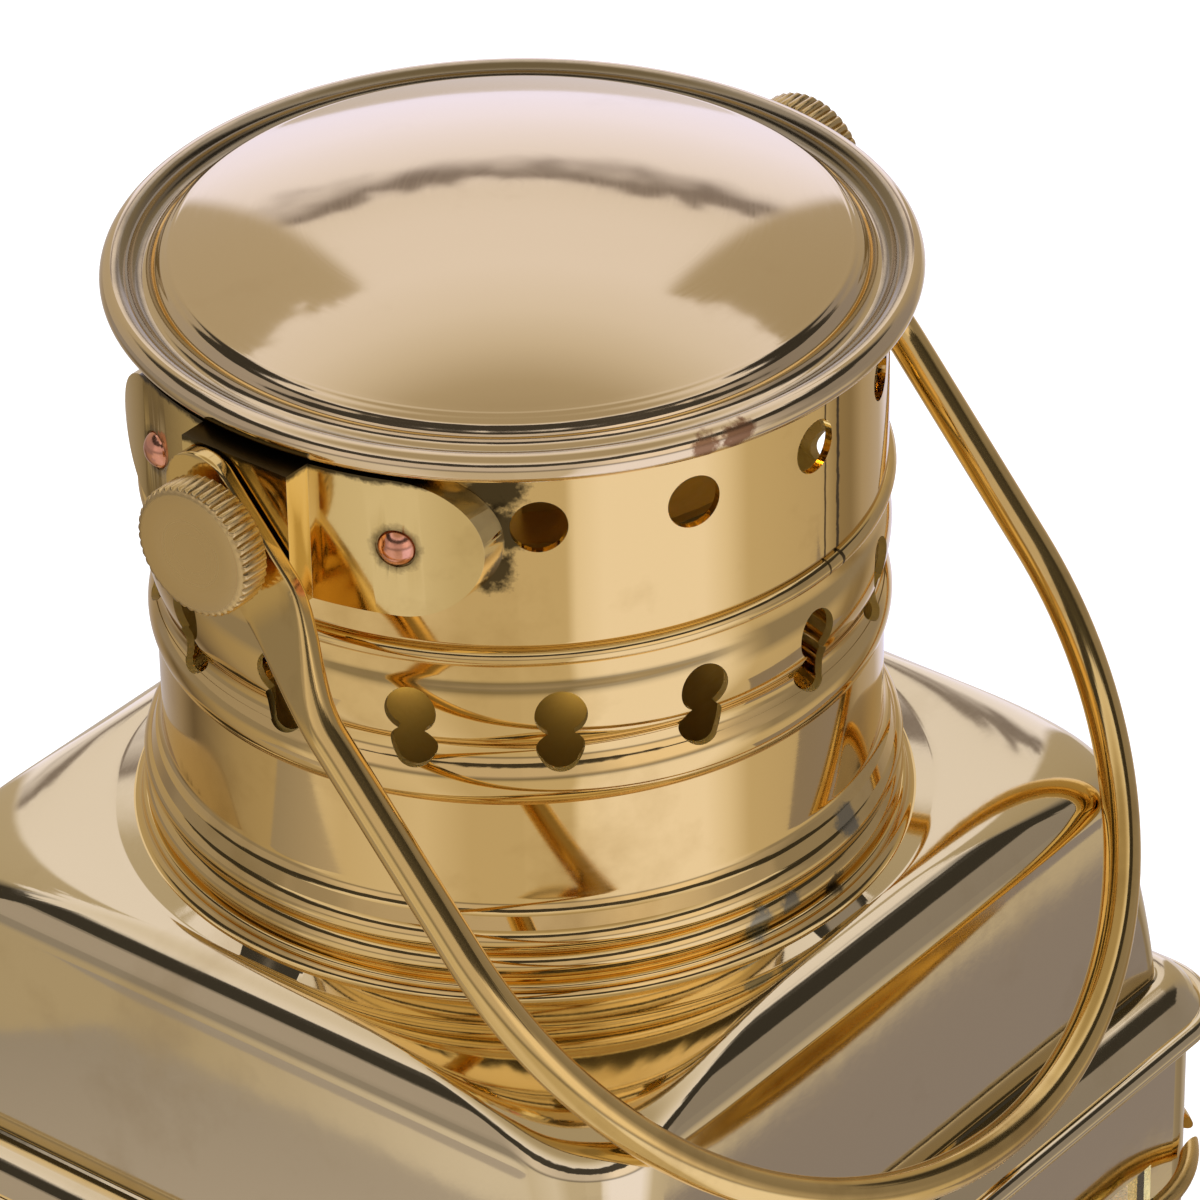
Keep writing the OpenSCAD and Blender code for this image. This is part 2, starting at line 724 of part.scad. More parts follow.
module latch_screw() {
    color(brass_pale) translate([latch_x, door_y + door_t, latch_z]) rotate([-90, 0, 0]) {
        cylinder(r = 1.2, h = 2 * gap + hook_t);
        translate([0, 0, 2 * gap + hook_t]) cylinder(r = 2.2, h = 1);
    }
}

module latch_hook() {
    reach = stud_x - latch_x;
    color(brass) translate([latch_x, hook_y, latch_z]) rotate([-90, 0, 0]) difference() {
        union() {
            cylinder(r = 3, h = hook_t);
            translate([0, -2.2, 0]) cube([reach, 4.4, hook_t]);
            translate([reach, 0, 0]) cylinder(r = stud_r + gap + 1.6, h = hook_t);
        }
        translate([0, 0, -past]) cylinder(r = 1.2 + running, h = hook_t + 2 * past);
        translate([reach, 0, -past]) cylinder(r = stud_r + gap, h = hook_t + 2 * past);
        translate([0, 0, -past]) rotate_extrude(angle = 60)
            translate([reach - stud_r - gap, 0]) square([2 * (stud_r + gap), hook_t + 2 * past]);
    }
}

/* Oil font, burner, wick and lamp glass */

font_z = frame_z + gap;
module font_ring() {
    color(brass_pale) translate([0, 0, frame_z]) rotate_extrude() polygon([
        [font_r + gap, 0], [font_r + gap + 5, 0], [font_r + gap + 5, 1.2],
        [font_r + gap + 1.2, 1.2], [font_r + gap + 1.2, 6], [font_r + gap, 6]]);
}

neck_r = 12;
neck_h = 5;
filler_place = 24;
filler_r = 5;
font_shoulder = 8;
font_top = font_z + font_h;
font_seam = font_h - font_shoulder;
font_wall = 1;
module font_pan() {
    color(brass) translate([0, 0, font_z]) rotate_extrude() polygon([
        [0, 0], [font_r - 1, 0], [font_r, 1], [font_r, font_seam], [font_r - font_wall, font_seam],
        [font_r - font_wall, font_wall], [0, font_wall]]);
}

module font_dome() {
    middle = [font_r - font_shoulder, font_seam];
    color(brass) difference() {
        translate([0, 0, font_z]) rotate_extrude() polygon(concat(
            arc_points(middle, font_shoulder, 0, 90, 10),
            [[neck_r - 2, font_h], [neck_r - 2, font_h - font_wall]],
            arc_points(middle, font_shoulder - font_wall, 90, 0, 10)));
        translate([0, filler_place, font_top - 3]) cylinder(r = filler_r - 2, h = 3 + past);
    }
}

module font_neck() {
    color(brass_pale) translate([0, 0, font_top]) rotate_extrude() polygon([
        [neck_r - 2, 0], [neck_r + 2, 0], [neck_r + 2, 1], [neck_r, 1.6],
        [neck_r, neck_h], [neck_r - 2, neck_h]]);
}

module filler_cap() {
    height = 5;
    color(brass_pale) translate([0, filler_place, font_top + gap]) {
        cylinder(r = filler_r + 1, h = 1);
        difference() {
            cylinder(r = filler_r, h = height);
            for (i = [0:23]) rotate(i * 15) translate([filler_r + 0.3, 0, 1.4])
                cylinder(r = 0.6, h = height, $fn = 4);
        }
        translate([0, 0, -gap - 2.5]) cylinder(r = filler_r - 2 - gap, h = 3.5);
    }
}

chamber_z = font_top + neck_h;
chamber_h = 11;
spindle_z = chamber_z + 6;
spindle_y = wick_t / 2 + gap + spur_r;
wick_slot_w = wick_w + 2 * gap;
wick_slot_t = wick_t + 2 * gap;
module burner_chamber() {
    color(brass) difference() {
        translate([0, 0, chamber_z]) cylinder(r = burner_r, h = chamber_h);
        translate([0, 0, chamber_z + 1]) cylinder(r = burner_r - 1, h = chamber_h);
        translate([-wick_tube_w / 2, -wick_tube_t / 2, chamber_z - past])
            cube([wick_tube_w, wick_tube_t, 1 + 2 * past]);
        for (i = [0:17]) rotate(10 + i * 20) translate([burner_r - 3, 0, chamber_z + 8.2])
            rotate([0, 90, 0]) cylinder(r = 0.9, h = 6);
        translate([burner_r - 3, spindle_y, spindle_z]) rotate([0, 90, 0])
            cylinder(r = spindle_r + running, h = 6);
    }
}

gallery_z = chamber_z + chamber_h;
glass_foot_r = 19.5;
module burner_gallery() {
    color(brass_pale) {
        translate([0, 0, gallery_z]) rotate_extrude() polygon([
            [burner_r - 2, 0], [glass_foot_r + 2.2, 0], [glass_foot_r + 2.2, 1.2], [burner_r - 2, 1.2]]);
        for (turn = [0:60:300]) rotate(turn)
            translate([glass_foot_r + gap, -2, gallery_z + 1.2]) cube([0.8, 4, 9]);
    }
}

wick_tube_w = wick_slot_w + 1.6;
wick_tube_t = wick_slot_t + 1.6;
wick_tube_z = font_top - 4;
cone_h = 9;
wick_top = gallery_z + 7;
module wick_tube() {
    color(brass) difference() {
        translate([-wick_tube_w / 2, -wick_tube_t / 2, wick_tube_z])
            cube([wick_tube_w, wick_tube_t, wick_top - 2 - wick_tube_z]);
        translate([-wick_slot_w / 2, -wick_slot_t / 2, wick_tube_z - past])
            cube([wick_slot_w, wick_slot_t, wick_top - wick_tube_z + 2 * past]);
        for (x = spur_xs) translate([x - spur_t / 2 - gap, 0, spindle_z])
            rotate([0, 90, 0]) translate([0, spindle_y, 0]) cylinder(r = spur_r + gap, h = spur_t + 2 * gap);
    }
}

module burner_cone() {
    color(brass) translate([0, 0, gallery_z + 1.2]) difference() {
        rotate_extrude() polygon(concat(
            [[burner_r - 2, 0], [glass_foot_r - 3, 0]],
            arc_points([0, -6], 17.6, 20, 68, 8),
            arc_points([0, -6], 16.8, 68, 22, 8)));
        translate([-wick_slot_w / 2 - 1.5, -3, 0]) cube([wick_slot_w + 3, 6, 20]);
    }
}

spindle_r = 1;
spur_t = 1;
spur_xs = [-4.5, 0, 4.5];
spindle_end = 40;
knob2_r = 6;
module wick_spindle() {
    color(brass_pale) translate([0, spindle_y, spindle_z]) rotate([0, 90, 0]) {
        translate([0, 0, -7]) cylinder(r = spindle_r, h = spindle_end + 7);
        for (x = spur_xs) translate([0, 0, x - spur_t / 2]) difference() {
            cylinder(r = spur_r, h = spur_t);
            for (i = [0:11]) rotate(i * 30) translate([spur_r + 0.2, 0, -past])
                cylinder(r = 0.6, h = spur_t + 2 * past, $fn = 4);
        }
    }
}

module wick_knob() {
    color(brass_pale) translate([spindle_end, spindle_y, spindle_z]) rotate([0, 90, 0]) difference() {
        cylinder(r = knob2_r, h = 2.5);
        for (i = [0:23]) rotate(i * 15) translate([knob2_r + 0.3, 0, -past])
            cylinder(r = 0.7, h = 2.5 + 2 * past, $fn = 4);
    }
}

wick_foot = font_z + 6.5;
module wick() {
    color(cotton) translate([-wick_w / 2, -wick_t / 2, wick_foot])
        cube([wick_w, wick_t, wick_top - wick_foot]);
}

lamp_glass_z = gallery_z + 1.2 + gap;
module lamp_glass() {
    wall = 1.2;
    foot_h = 10;
    bulb_z = lamp_glass_h * 0.36;
    neck_top_r = 13;
    outline = concat(
        [[glass_foot_r, 0]],
        [for (i = [0:16]) let (t = i / 16)
            [glass_foot_r + (lamp_glass_r - glass_foot_r) * sin(90 * t), foot_h + (bulb_z - foot_h) * t]],
        [for (i = [1:20]) let (t = i / 20)
            [neck_top_r + (lamp_glass_r - neck_top_r) * (1 + cos(180 * t)) / 2,
             bulb_z + (lamp_glass_h * 0.8 - bulb_z) * t]],
        [[neck_top_r, lamp_glass_h]]);
    color(clear) translate([0, 0, lamp_glass_z]) rotate_extrude() polygon(concat(outline,
        [for (i = [len(outline) - 1:-1:0]) [outline[i][0] - wall, outline[i][1]]]));
}

base_skirt();
base_floor();
body_frame();
window_pane("front");  // window_glass_front
window_pane("left");  // window_glass_left
window_pane("right");  // window_glass_right
glass_bead("front");  // glass_bead_front
glass_bead("left");  // glass_bead_left
glass_bead("right");  // glass_bead_right
guard_rods("front");  // guard_rods_front
guard_rods("left");  // guard_rods_left
guard_rods("right");  // guard_rods_right
eave_moulding();
roof_hood();
roof_collar();
chimney_drum();
chimney_sleeve();
chimney_cap();
draught_tube();
wind_baffle();
bail_bracket(-1);  // bail_bracket_left
bail_bracket(1);  // bail_bracket_right
bracket_rivets();
screw_washer(-1);  // screw_washer_left
screw_washer(1);  // screw_washer_right
thumb_screw(-1);  // thumb_screw_left
thumb_screw(1);  // thumb_screw_right
bail();
hinge_leaf_body();
hinge_pins();
latch_stud();
door_frame();
door_glass();
door_bead();
door_guard_rods();
hinge_leaf_door();
latch_screw();
latch_hook();
font_ring();
font_pan();
font_dome();
font_neck();
filler_cap();
burner_chamber();
burner_gallery();
burner_cone();
wick_tube();
wick_spindle();
wick_knob();
wick();
lamp_glass();
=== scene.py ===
"""Looks of a brass oil lantern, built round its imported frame.

Lengths in the classes are millimetres; meshes are written in metres, in the frame's own axes.
"""
import json
import logging
import math
from bisect import bisect_left
from collections.abc import Callable, Sequence
from dataclasses import dataclass
from enum import Enum
from typing import Any

import bmesh
import bpy
from mathutils import Matrix, Vector

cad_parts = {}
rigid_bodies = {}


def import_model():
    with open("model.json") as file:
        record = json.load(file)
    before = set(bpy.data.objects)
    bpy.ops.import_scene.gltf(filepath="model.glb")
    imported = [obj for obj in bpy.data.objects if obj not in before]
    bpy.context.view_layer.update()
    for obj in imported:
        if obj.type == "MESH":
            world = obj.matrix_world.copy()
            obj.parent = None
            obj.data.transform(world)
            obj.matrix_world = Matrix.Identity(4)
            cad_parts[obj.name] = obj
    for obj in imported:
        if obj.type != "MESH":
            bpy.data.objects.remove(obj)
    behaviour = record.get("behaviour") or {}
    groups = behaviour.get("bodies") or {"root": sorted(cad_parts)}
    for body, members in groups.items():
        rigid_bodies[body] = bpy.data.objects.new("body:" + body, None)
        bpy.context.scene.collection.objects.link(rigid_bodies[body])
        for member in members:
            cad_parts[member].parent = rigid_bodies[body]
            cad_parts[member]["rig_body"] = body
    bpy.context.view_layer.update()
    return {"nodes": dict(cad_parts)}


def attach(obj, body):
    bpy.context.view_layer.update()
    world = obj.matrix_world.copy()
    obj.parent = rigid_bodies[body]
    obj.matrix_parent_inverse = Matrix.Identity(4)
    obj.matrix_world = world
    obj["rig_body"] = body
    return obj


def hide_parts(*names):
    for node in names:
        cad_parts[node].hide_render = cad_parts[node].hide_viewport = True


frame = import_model()

MM = 0.001
Point = tuple[float, float]
log = logging.getLogger("lantern")


# Small helpers


def linear(code: str) -> tuple[float, float, float, float]:
    """Turns an sRGB colour code into Blender's linear colour.

    Args:
        code: Colour as "#RRGGBB".

    Returns:
        Linear red, green, blue and an alpha of one.
    """
    parts = [int(code[i:i + 2], 16) / 255 for i in (1, 3, 5)]
    lit = [c / 12.92 if c <= 0.04045 else ((c + 0.055) / 1.055) ** 2.4 for c in parts]
    return (lit[0], lit[1], lit[2], 1.0)


def arc(centre: Point, radius: float, start: float, end: float, steps: int) -> list[Point]:
    """Gives points along an arc in a plane.

    Args:
        centre: Middle of the arc.
        radius: Its radius.
        start: First angle, in degrees.
        end: Last angle, in degrees.
        steps: Number of straight pieces.

    Returns:
        The points from start to end.
    """
    turns = [math.radians(start + (end - start) * i / steps) for i in range(steps + 1)]
    return [(centre[0] + radius * math.cos(a), centre[1] + radius * math.sin(a)) for a in turns]


def add(tree: bpy.types.NodeTree, kind: str, inputs: dict[Any, Any] | None = None,
        **settings: Any) -> bpy.types.Node:
    """Adds a node with its settings and links.

    Args:
        tree: Node tree that the node goes into.
        kind: Blender's name of the node type.
        inputs: Socket name or number to a plain value or to another node's output.
        settings: The node's own options; "stops" are a colour ramp's places and colours.

    Returns:
        The new node.
    """
    node = tree.nodes.new(kind)
    stops = settings.pop("stops", ())
    if stops:
        elements = node.color_ramp.elements
        elements.remove(elements[1])
        for i, (place, colour) in enumerate(stops):
            stop = elements.new(place) if i else elements[0]
            stop.position = place
            stop.color = (*colour[:3], 1.0)
    for key, value in settings.items():
        setattr(node, key, value)
    for key, value in (inputs or {}).items():
        if isinstance(value, bpy.types.NodeSocket):
            tree.links.new(value, node.inputs[key])
        else:
            node.inputs[key].default_value = value
    return node


def blank_material(name: str) -> tuple[bpy.types.Material, bpy.types.NodeTree, bpy.types.Node]:
    """Makes an empty material.

    Args:
        name: The material's name.

    Returns:
        The material, its node tree and its output node.
    """
    material = bpy.data.materials.new(name)
    material.use_nodes = True
    tree = material.node_tree
    tree.nodes.clear()
    return material, tree, tree.nodes.new("ShaderNodeOutputMaterial")


# Finishes


class Grain(Enum):
    """Which way a metal's fine scratches run."""

    ROUND = "round the upright axis, as on spun sheet"
    PIVOT = "round the bail's pivot axis, as on turned screws"
    CROSS = "every way, as on hand-polished sheet"
    ALONG = "along the piece's own UV map, as on drawn rod"


class Spread(Enum):
    """What a mark on the metal follows."""

    POINT = "a patch round one point"
    RING = "a ring round the upright axis"
    SEAM = "an upright line on one side"
    LEVEL = "a band at one height"


@dataclass(frozen=True)
class Mark:
    """Dull film, solder, a joint's line or painted shade on polished metal."""

    spread: Spread
    # Middle of a patch in mm; radius and height of a ring; bearing of a seam from +X and its height
    place: tuple[float, float, float]
    wide: float
    colour: str
    dull: float
    cover: float = 0.9
    ragged: float = 0.6
    grain_mm: float = 2.5

    def mask(self, tree: bpy.types.NodeTree, place: bpy.types.NodeSocket) -> bpy.types.NodeSocket:
        """Gives how much the mark covers, from 0 to 1.

        Args:
            tree: Node tree to build in.
            place: The piece's object coordinates, in metres.

        Returns:
            A value socket.
        """
        noise = add(tree, "ShaderNodeTexNoise", {"Vector": place, "Scale": 1 / (self.grain_mm * MM),
                                                 "Detail": 5.0, "Roughness": 0.65})
        shift = add(tree, "ShaderNodeMath", {0: noise.outputs[0], 1: 2 * self.ragged * self.wide * MM,
                                             2: -self.ragged * self.wide * MM}, operation="MULTIPLY_ADD")
        if self.spread is Spread.POINT:
            gap = add(tree, "ShaderNodeVectorMath", {0: place, 1: Vector(self.place) * MM}, operation="DISTANCE")
            away = gap.outputs["Value"]
        elif self.spread is Spread.RING:
            flat = add(tree, "ShaderNodeVectorMath", {0: place, 1: (1.0, 1.0, 0.0)}, operation="MULTIPLY")
            far = add(tree, "ShaderNodeVectorMath", {0: flat.outputs[0]}, operation="LENGTH")
            gap = add(tree, "ShaderNodeMath", {0: far.outputs["Value"], 1: self.place[0] * MM},
                      operation="SUBTRACT")
            away = add(tree, "ShaderNodeMath", {0: gap.outputs[0]}, operation="ABSOLUTE").outputs[0]
        elif self.spread is Spread.LEVEL:
            parts = add(tree, "ShaderNodeSeparateXYZ", {0: place})
            gap = add(tree, "ShaderNodeMath", {0: parts.outputs["Z"], 1: self.place[2] * MM},
                      operation="SUBTRACT")
            away = add(tree, "ShaderNodeMath", {0: gap.outputs[0]}, operation="ABSOLUTE").outputs[0]
        else:
            turned = add(tree, "ShaderNodeVectorRotate",
                         {"Vector": place, "Angle": -math.radians(self.place[0])}, rotation_type="Z_AXIS")
            parts = add(tree, "ShaderNodeSeparateXYZ", {0: turned.outputs[0]})
            behind = add(tree, "ShaderNodeMath", {0: parts.outputs["X"], 1: 0.0}, operation="LESS_THAN")
            wavered = add(tree, "ShaderNodeMath", {0: parts.outputs["Y"], 1: shift.outputs[0]}, operation="ADD")
            side = add(tree, "ShaderNodeMath", {0: wavered.outputs[0]}, operation="ABSOLUTE")
            away = add(tree, "ShaderNodeMath", {0: behind.outputs[0], 1: side.outputs[0]},
                       operation="ADD").outputs[0]
        if self.spread is not Spread.SEAM:
            away = add(tree, "ShaderNodeMath", {0: away, 1: shift.outputs[0]}, operation="ADD").outputs[0]
        return add(tree, "ShaderNodeMapRange",
                   {"Value": away, "From Min": self.wide * MM, "From Max": 0.6 * self.wide * MM,
                    "To Min": 0.0, "To Max": self.cover}).outputs[0]


@dataclass(frozen=True)
class Metal:
    """Polished, turned, drawn or cast metal with its scratches, waves and tarnish."""

    name: str
    clean: str
    film: str
    shine: float
    grain: Grain
    grain_mm: float = 0.35
    grain_deep_mm: float = 0.0006
    wave_mm: float = 16.0
    wave_deep_mm: float = 0.02
    film_mm: float = 22.0
    film_share: float = 0.25
    pivot_mm: float = 271.4
    wave_detail: float = 1.0
    bare: float = 1.0
    marks: tuple[Mark, ...] = ()

    def grain_vector(self, tree: bpy.types.NodeTree, place: bpy.types.NodeSocket) -> bpy.types.NodeSocket:
        """Gives the coordinates in which the scratches run straight.

        Args:
            tree: Node tree to build in.
            place: The piece's object coordinates, in metres.

        Returns:
            A vector socket, in metres.
        """
        if self.grain is Grain.CROSS:
            return add(tree, "ShaderNodeVectorMath", {0: place, 1: (0.25, 1.0, 1.0)},
                       operation="MULTIPLY").outputs[0]
        if self.grain is Grain.ALONG:
            laid = add(tree, "ShaderNodeUVMap", uv_map="along").outputs[0]
            return add(tree, "ShaderNodeVectorMath", {0: laid, 1: (0.03, 1.0, 1.0)},
                       operation="MULTIPLY").outputs[0]
        upright = self.grain is Grain.ROUND
        start = (0.0, 0.0, 0.0) if upright else (0.0, 0.0, self.pivot_mm * MM)
        mask = (1.0, 1.0, 0.0) if upright else (0.0, 1.0, 1.0)
        moved = add(tree, "ShaderNodeVectorMath", {0: place, 1: start}, operation="SUBTRACT")
        flat = add(tree, "ShaderNodeVectorMath", {0: moved.outputs[0], 1: mask}, operation="MULTIPLY")
        reach = add(tree, "ShaderNodeVectorMath", {0: flat.outputs[0]}, operation="LENGTH")
        parts = add(tree, "ShaderNodeSeparateXYZ", {0: place})
        level = parts.outputs["Z" if upright else "X"]
        return add(tree, "ShaderNodeCombineXYZ", {"X": reach.outputs["Value"], "Y": level}).outputs[0]

    def make(self) -> bpy.types.Material:
        """Builds the node material."""
        material, tree, out = blank_material(self.name)
        place = add(tree, "ShaderNodeTexCoord").outputs["Object"]
        # Slow waves left by hand polishing make straight reflections waver
        waves = add(tree, "ShaderNodeTexNoise",
                    {"Vector": place, "Scale": 1 / (self.wave_mm * MM), "Detail": self.wave_detail,
                     "Roughness": 0.4})
        # Fine lines from the wheel, drawn about three times coarser than real so that they show
        lines = add(tree, "ShaderNodeTexNoise",
                    {"Vector": self.grain_vector(tree, place), "Scale": 1 / (self.grain_mm * MM),
                     "Detail": 3.0, "Roughness": 0.7})
        low = add(tree, "ShaderNodeBump", {"Height": waves.outputs[0], "Distance": self.wave_deep_mm * MM,
                                           "Strength": 1.0})
        fine = add(tree, "ShaderNodeBump", {"Height": lines.outputs[0], "Distance": self.grain_deep_mm * MM,
                                            "Strength": 1.0, "Normal": low.outputs[0]})
        # Thin brown film where the cloth has not reached
        patch = add(tree, "ShaderNodeTexNoise",
                    {"Vector": place, "Scale": 1 / (self.film_mm * MM), "Detail": 5.0, "Roughness": 0.6})
        cover = add(tree, "ShaderNodeMapRange",
                    {"Value": patch.outputs[0], "From Min": 0.62 - 0.3 * self.film_share,
                     "From Max": 0.82 - 0.2 * self.film_share, "To Min": 0.0, "To Max": self.film_share * 2.2})
        colour = add(tree, "ShaderNodeMix", {0: cover.outputs[0], 6: linear(self.clean), 7: linear(self.film)},
                     data_type="RGBA")
        dull = add(tree, "ShaderNodeMapRange",
                   {"Value": lines.outputs[0], "From Min": 0.3, "From Max": 0.7,
                    "To Min": self.shine * 0.75, "To Max": self.shine * 1.3})
        worn = add(tree, "ShaderNodeMath", {0: cover.outputs[0], 1: 0.18, 2: dull.outputs[0]},
                   operation="MULTIPLY_ADD")
        paint, rough = colour.outputs[2], worn.outputs[0]
        for mark in self.marks:
            mask = mark.mask(tree, place)
            paint = add(tree, "ShaderNodeMix", {0: mask, 6: paint, 7: linear(mark.colour)},
                        data_type="RGBA").outputs[2]
            rough = add(tree, "ShaderNodeMix", {0: mask, 2: rough, 3: mark.dull}).outputs[0]
        shader = add(tree, "ShaderNodeBsdfPrincipled",
                     {"Base Color": paint, "Metallic": self.bare, "Roughness": rough,
                      "Normal": fine.outputs[0]})
        tree.links.new(shader.outputs[0], out.inputs[0])
        return material


@dataclass(frozen=True)
class Glass:
    """Clear drawn or blown glass with a slight ripple."""

    name: str = "clear_drawn_glass"
    tint: str = "#F4FBF8"
    ripple_mm: float = 30.0

    def make(self) -> bpy.types.Material:
        """Builds the node material."""
        material, tree, out = blank_material(self.name)
        place = add(tree, "ShaderNodeTexCoord").outputs["Object"]
        ripple = add(tree, "ShaderNodeTexNoise",
                     {"Vector": place, "Scale": 1 / (self.ripple_mm * MM), "Detail": 1.0})
        bump = add(tree, "ShaderNodeBump", {"Height": ripple.outputs[0], "Distance": 0.03 * MM,
                                            "Strength": 1.0})
        tint = add(tree, "ShaderNodeMix", {0: ripple.outputs[0], 6: linear("#FFFFFF"), 7: linear(self.tint)},
                   data_type="RGBA")
        shader = add(tree, "ShaderNodeBsdfPrincipled",
                     {"Base Color": tint.outputs[2], "Roughness": 0.02, "IOR": 1.5,
                      "Transmission Weight": 1.0, "Normal": bump.outputs[0]})
        # Light passes straight through to the metal inside instead of casting a solid shadow
        path = add(tree, "ShaderNodeLightPath")
        passing = add(tree, "ShaderNodeMath", {0: path.outputs["Is Shadow Ray"], 1: path.outputs["Is Diffuse Ray"]},
                      operation="MAXIMUM")
        open_pane = add(tree, "ShaderNodeBsdfTransparent", {"Color": tint.outputs[2]})
        pane = add(tree, "ShaderNodeMixShader", {0: passing.outputs[0], 1: shader.outputs[0],
                                                 2: open_pane.outputs[0]})
        tree.links.new(pane.outputs[0], out.inputs[0])
        return material


@dataclass(frozen=True)
class Cotton:
    """Flat woven cotton wick, charred at its top."""

    name: str = "woven_cotton_wick"
    yarn: str = "#E9E2CF"
    shade: str = "#B9AE93"
    char: str = "#2B221B"
    thread_mm: float = 0.9

    def make(self) -> bpy.types.Material:
        """Builds the node material."""
        material, tree, out = blank_material(self.name)
        place = add(tree, "ShaderNodeTexCoord").outputs["Object"]
        rate = math.pi / (self.thread_mm * MM)
        parts = add(tree, "ShaderNodeSeparateXYZ", {0: place})
        across = add(tree, "ShaderNodeMath", {0: parts.outputs["X"], 1: rate}, operation="MULTIPLY")
        along = add(tree, "ShaderNodeMath", {0: parts.outputs["Z"], 1: rate}, operation="MULTIPLY")
        rows = add(tree, "ShaderNodeMath", {0: across.outputs[0]}, operation="SINE")
        columns = add(tree, "ShaderNodeMath", {0: along.outputs[0]}, operation="SINE")
        weave = add(tree, "ShaderNodeMath", {0: rows.outputs[0], 1: columns.outputs[0]}, operation="MULTIPLY")
        height = add(tree, "ShaderNodeMapRange", {"Value": weave.outputs[0], "From Min": -1.0, "From Max": 1.0})
        burnt = add(tree, "ShaderNodeMapRange", {"Value": parts.outputs["Z"], "From Min": 0.0595,
                                                 "From Max": 0.0615})
        yarn = add(tree, "ShaderNodeMix", {0: height.outputs[0], 6: linear(self.shade), 7: linear(self.yarn)},
                   data_type="RGBA")
        colour = add(tree, "ShaderNodeMix", {0: burnt.outputs[0], 6: yarn.outputs[2], 7: linear(self.char)},
                     data_type="RGBA")
        bump = add(tree, "ShaderNodeBump", {"Height": height.outputs[0], "Distance": 0.15 * MM, "Strength": 1.0})
        shader = add(tree, "ShaderNodeBsdfPrincipled",
                     {"Base Color": colour.outputs[2], "Roughness": 0.9, "Normal": bump.outputs[0],
                      "Sheen Weight": 0.3})
        tree.links.new(shader.outputs[0], out.inputs[0])
        return material


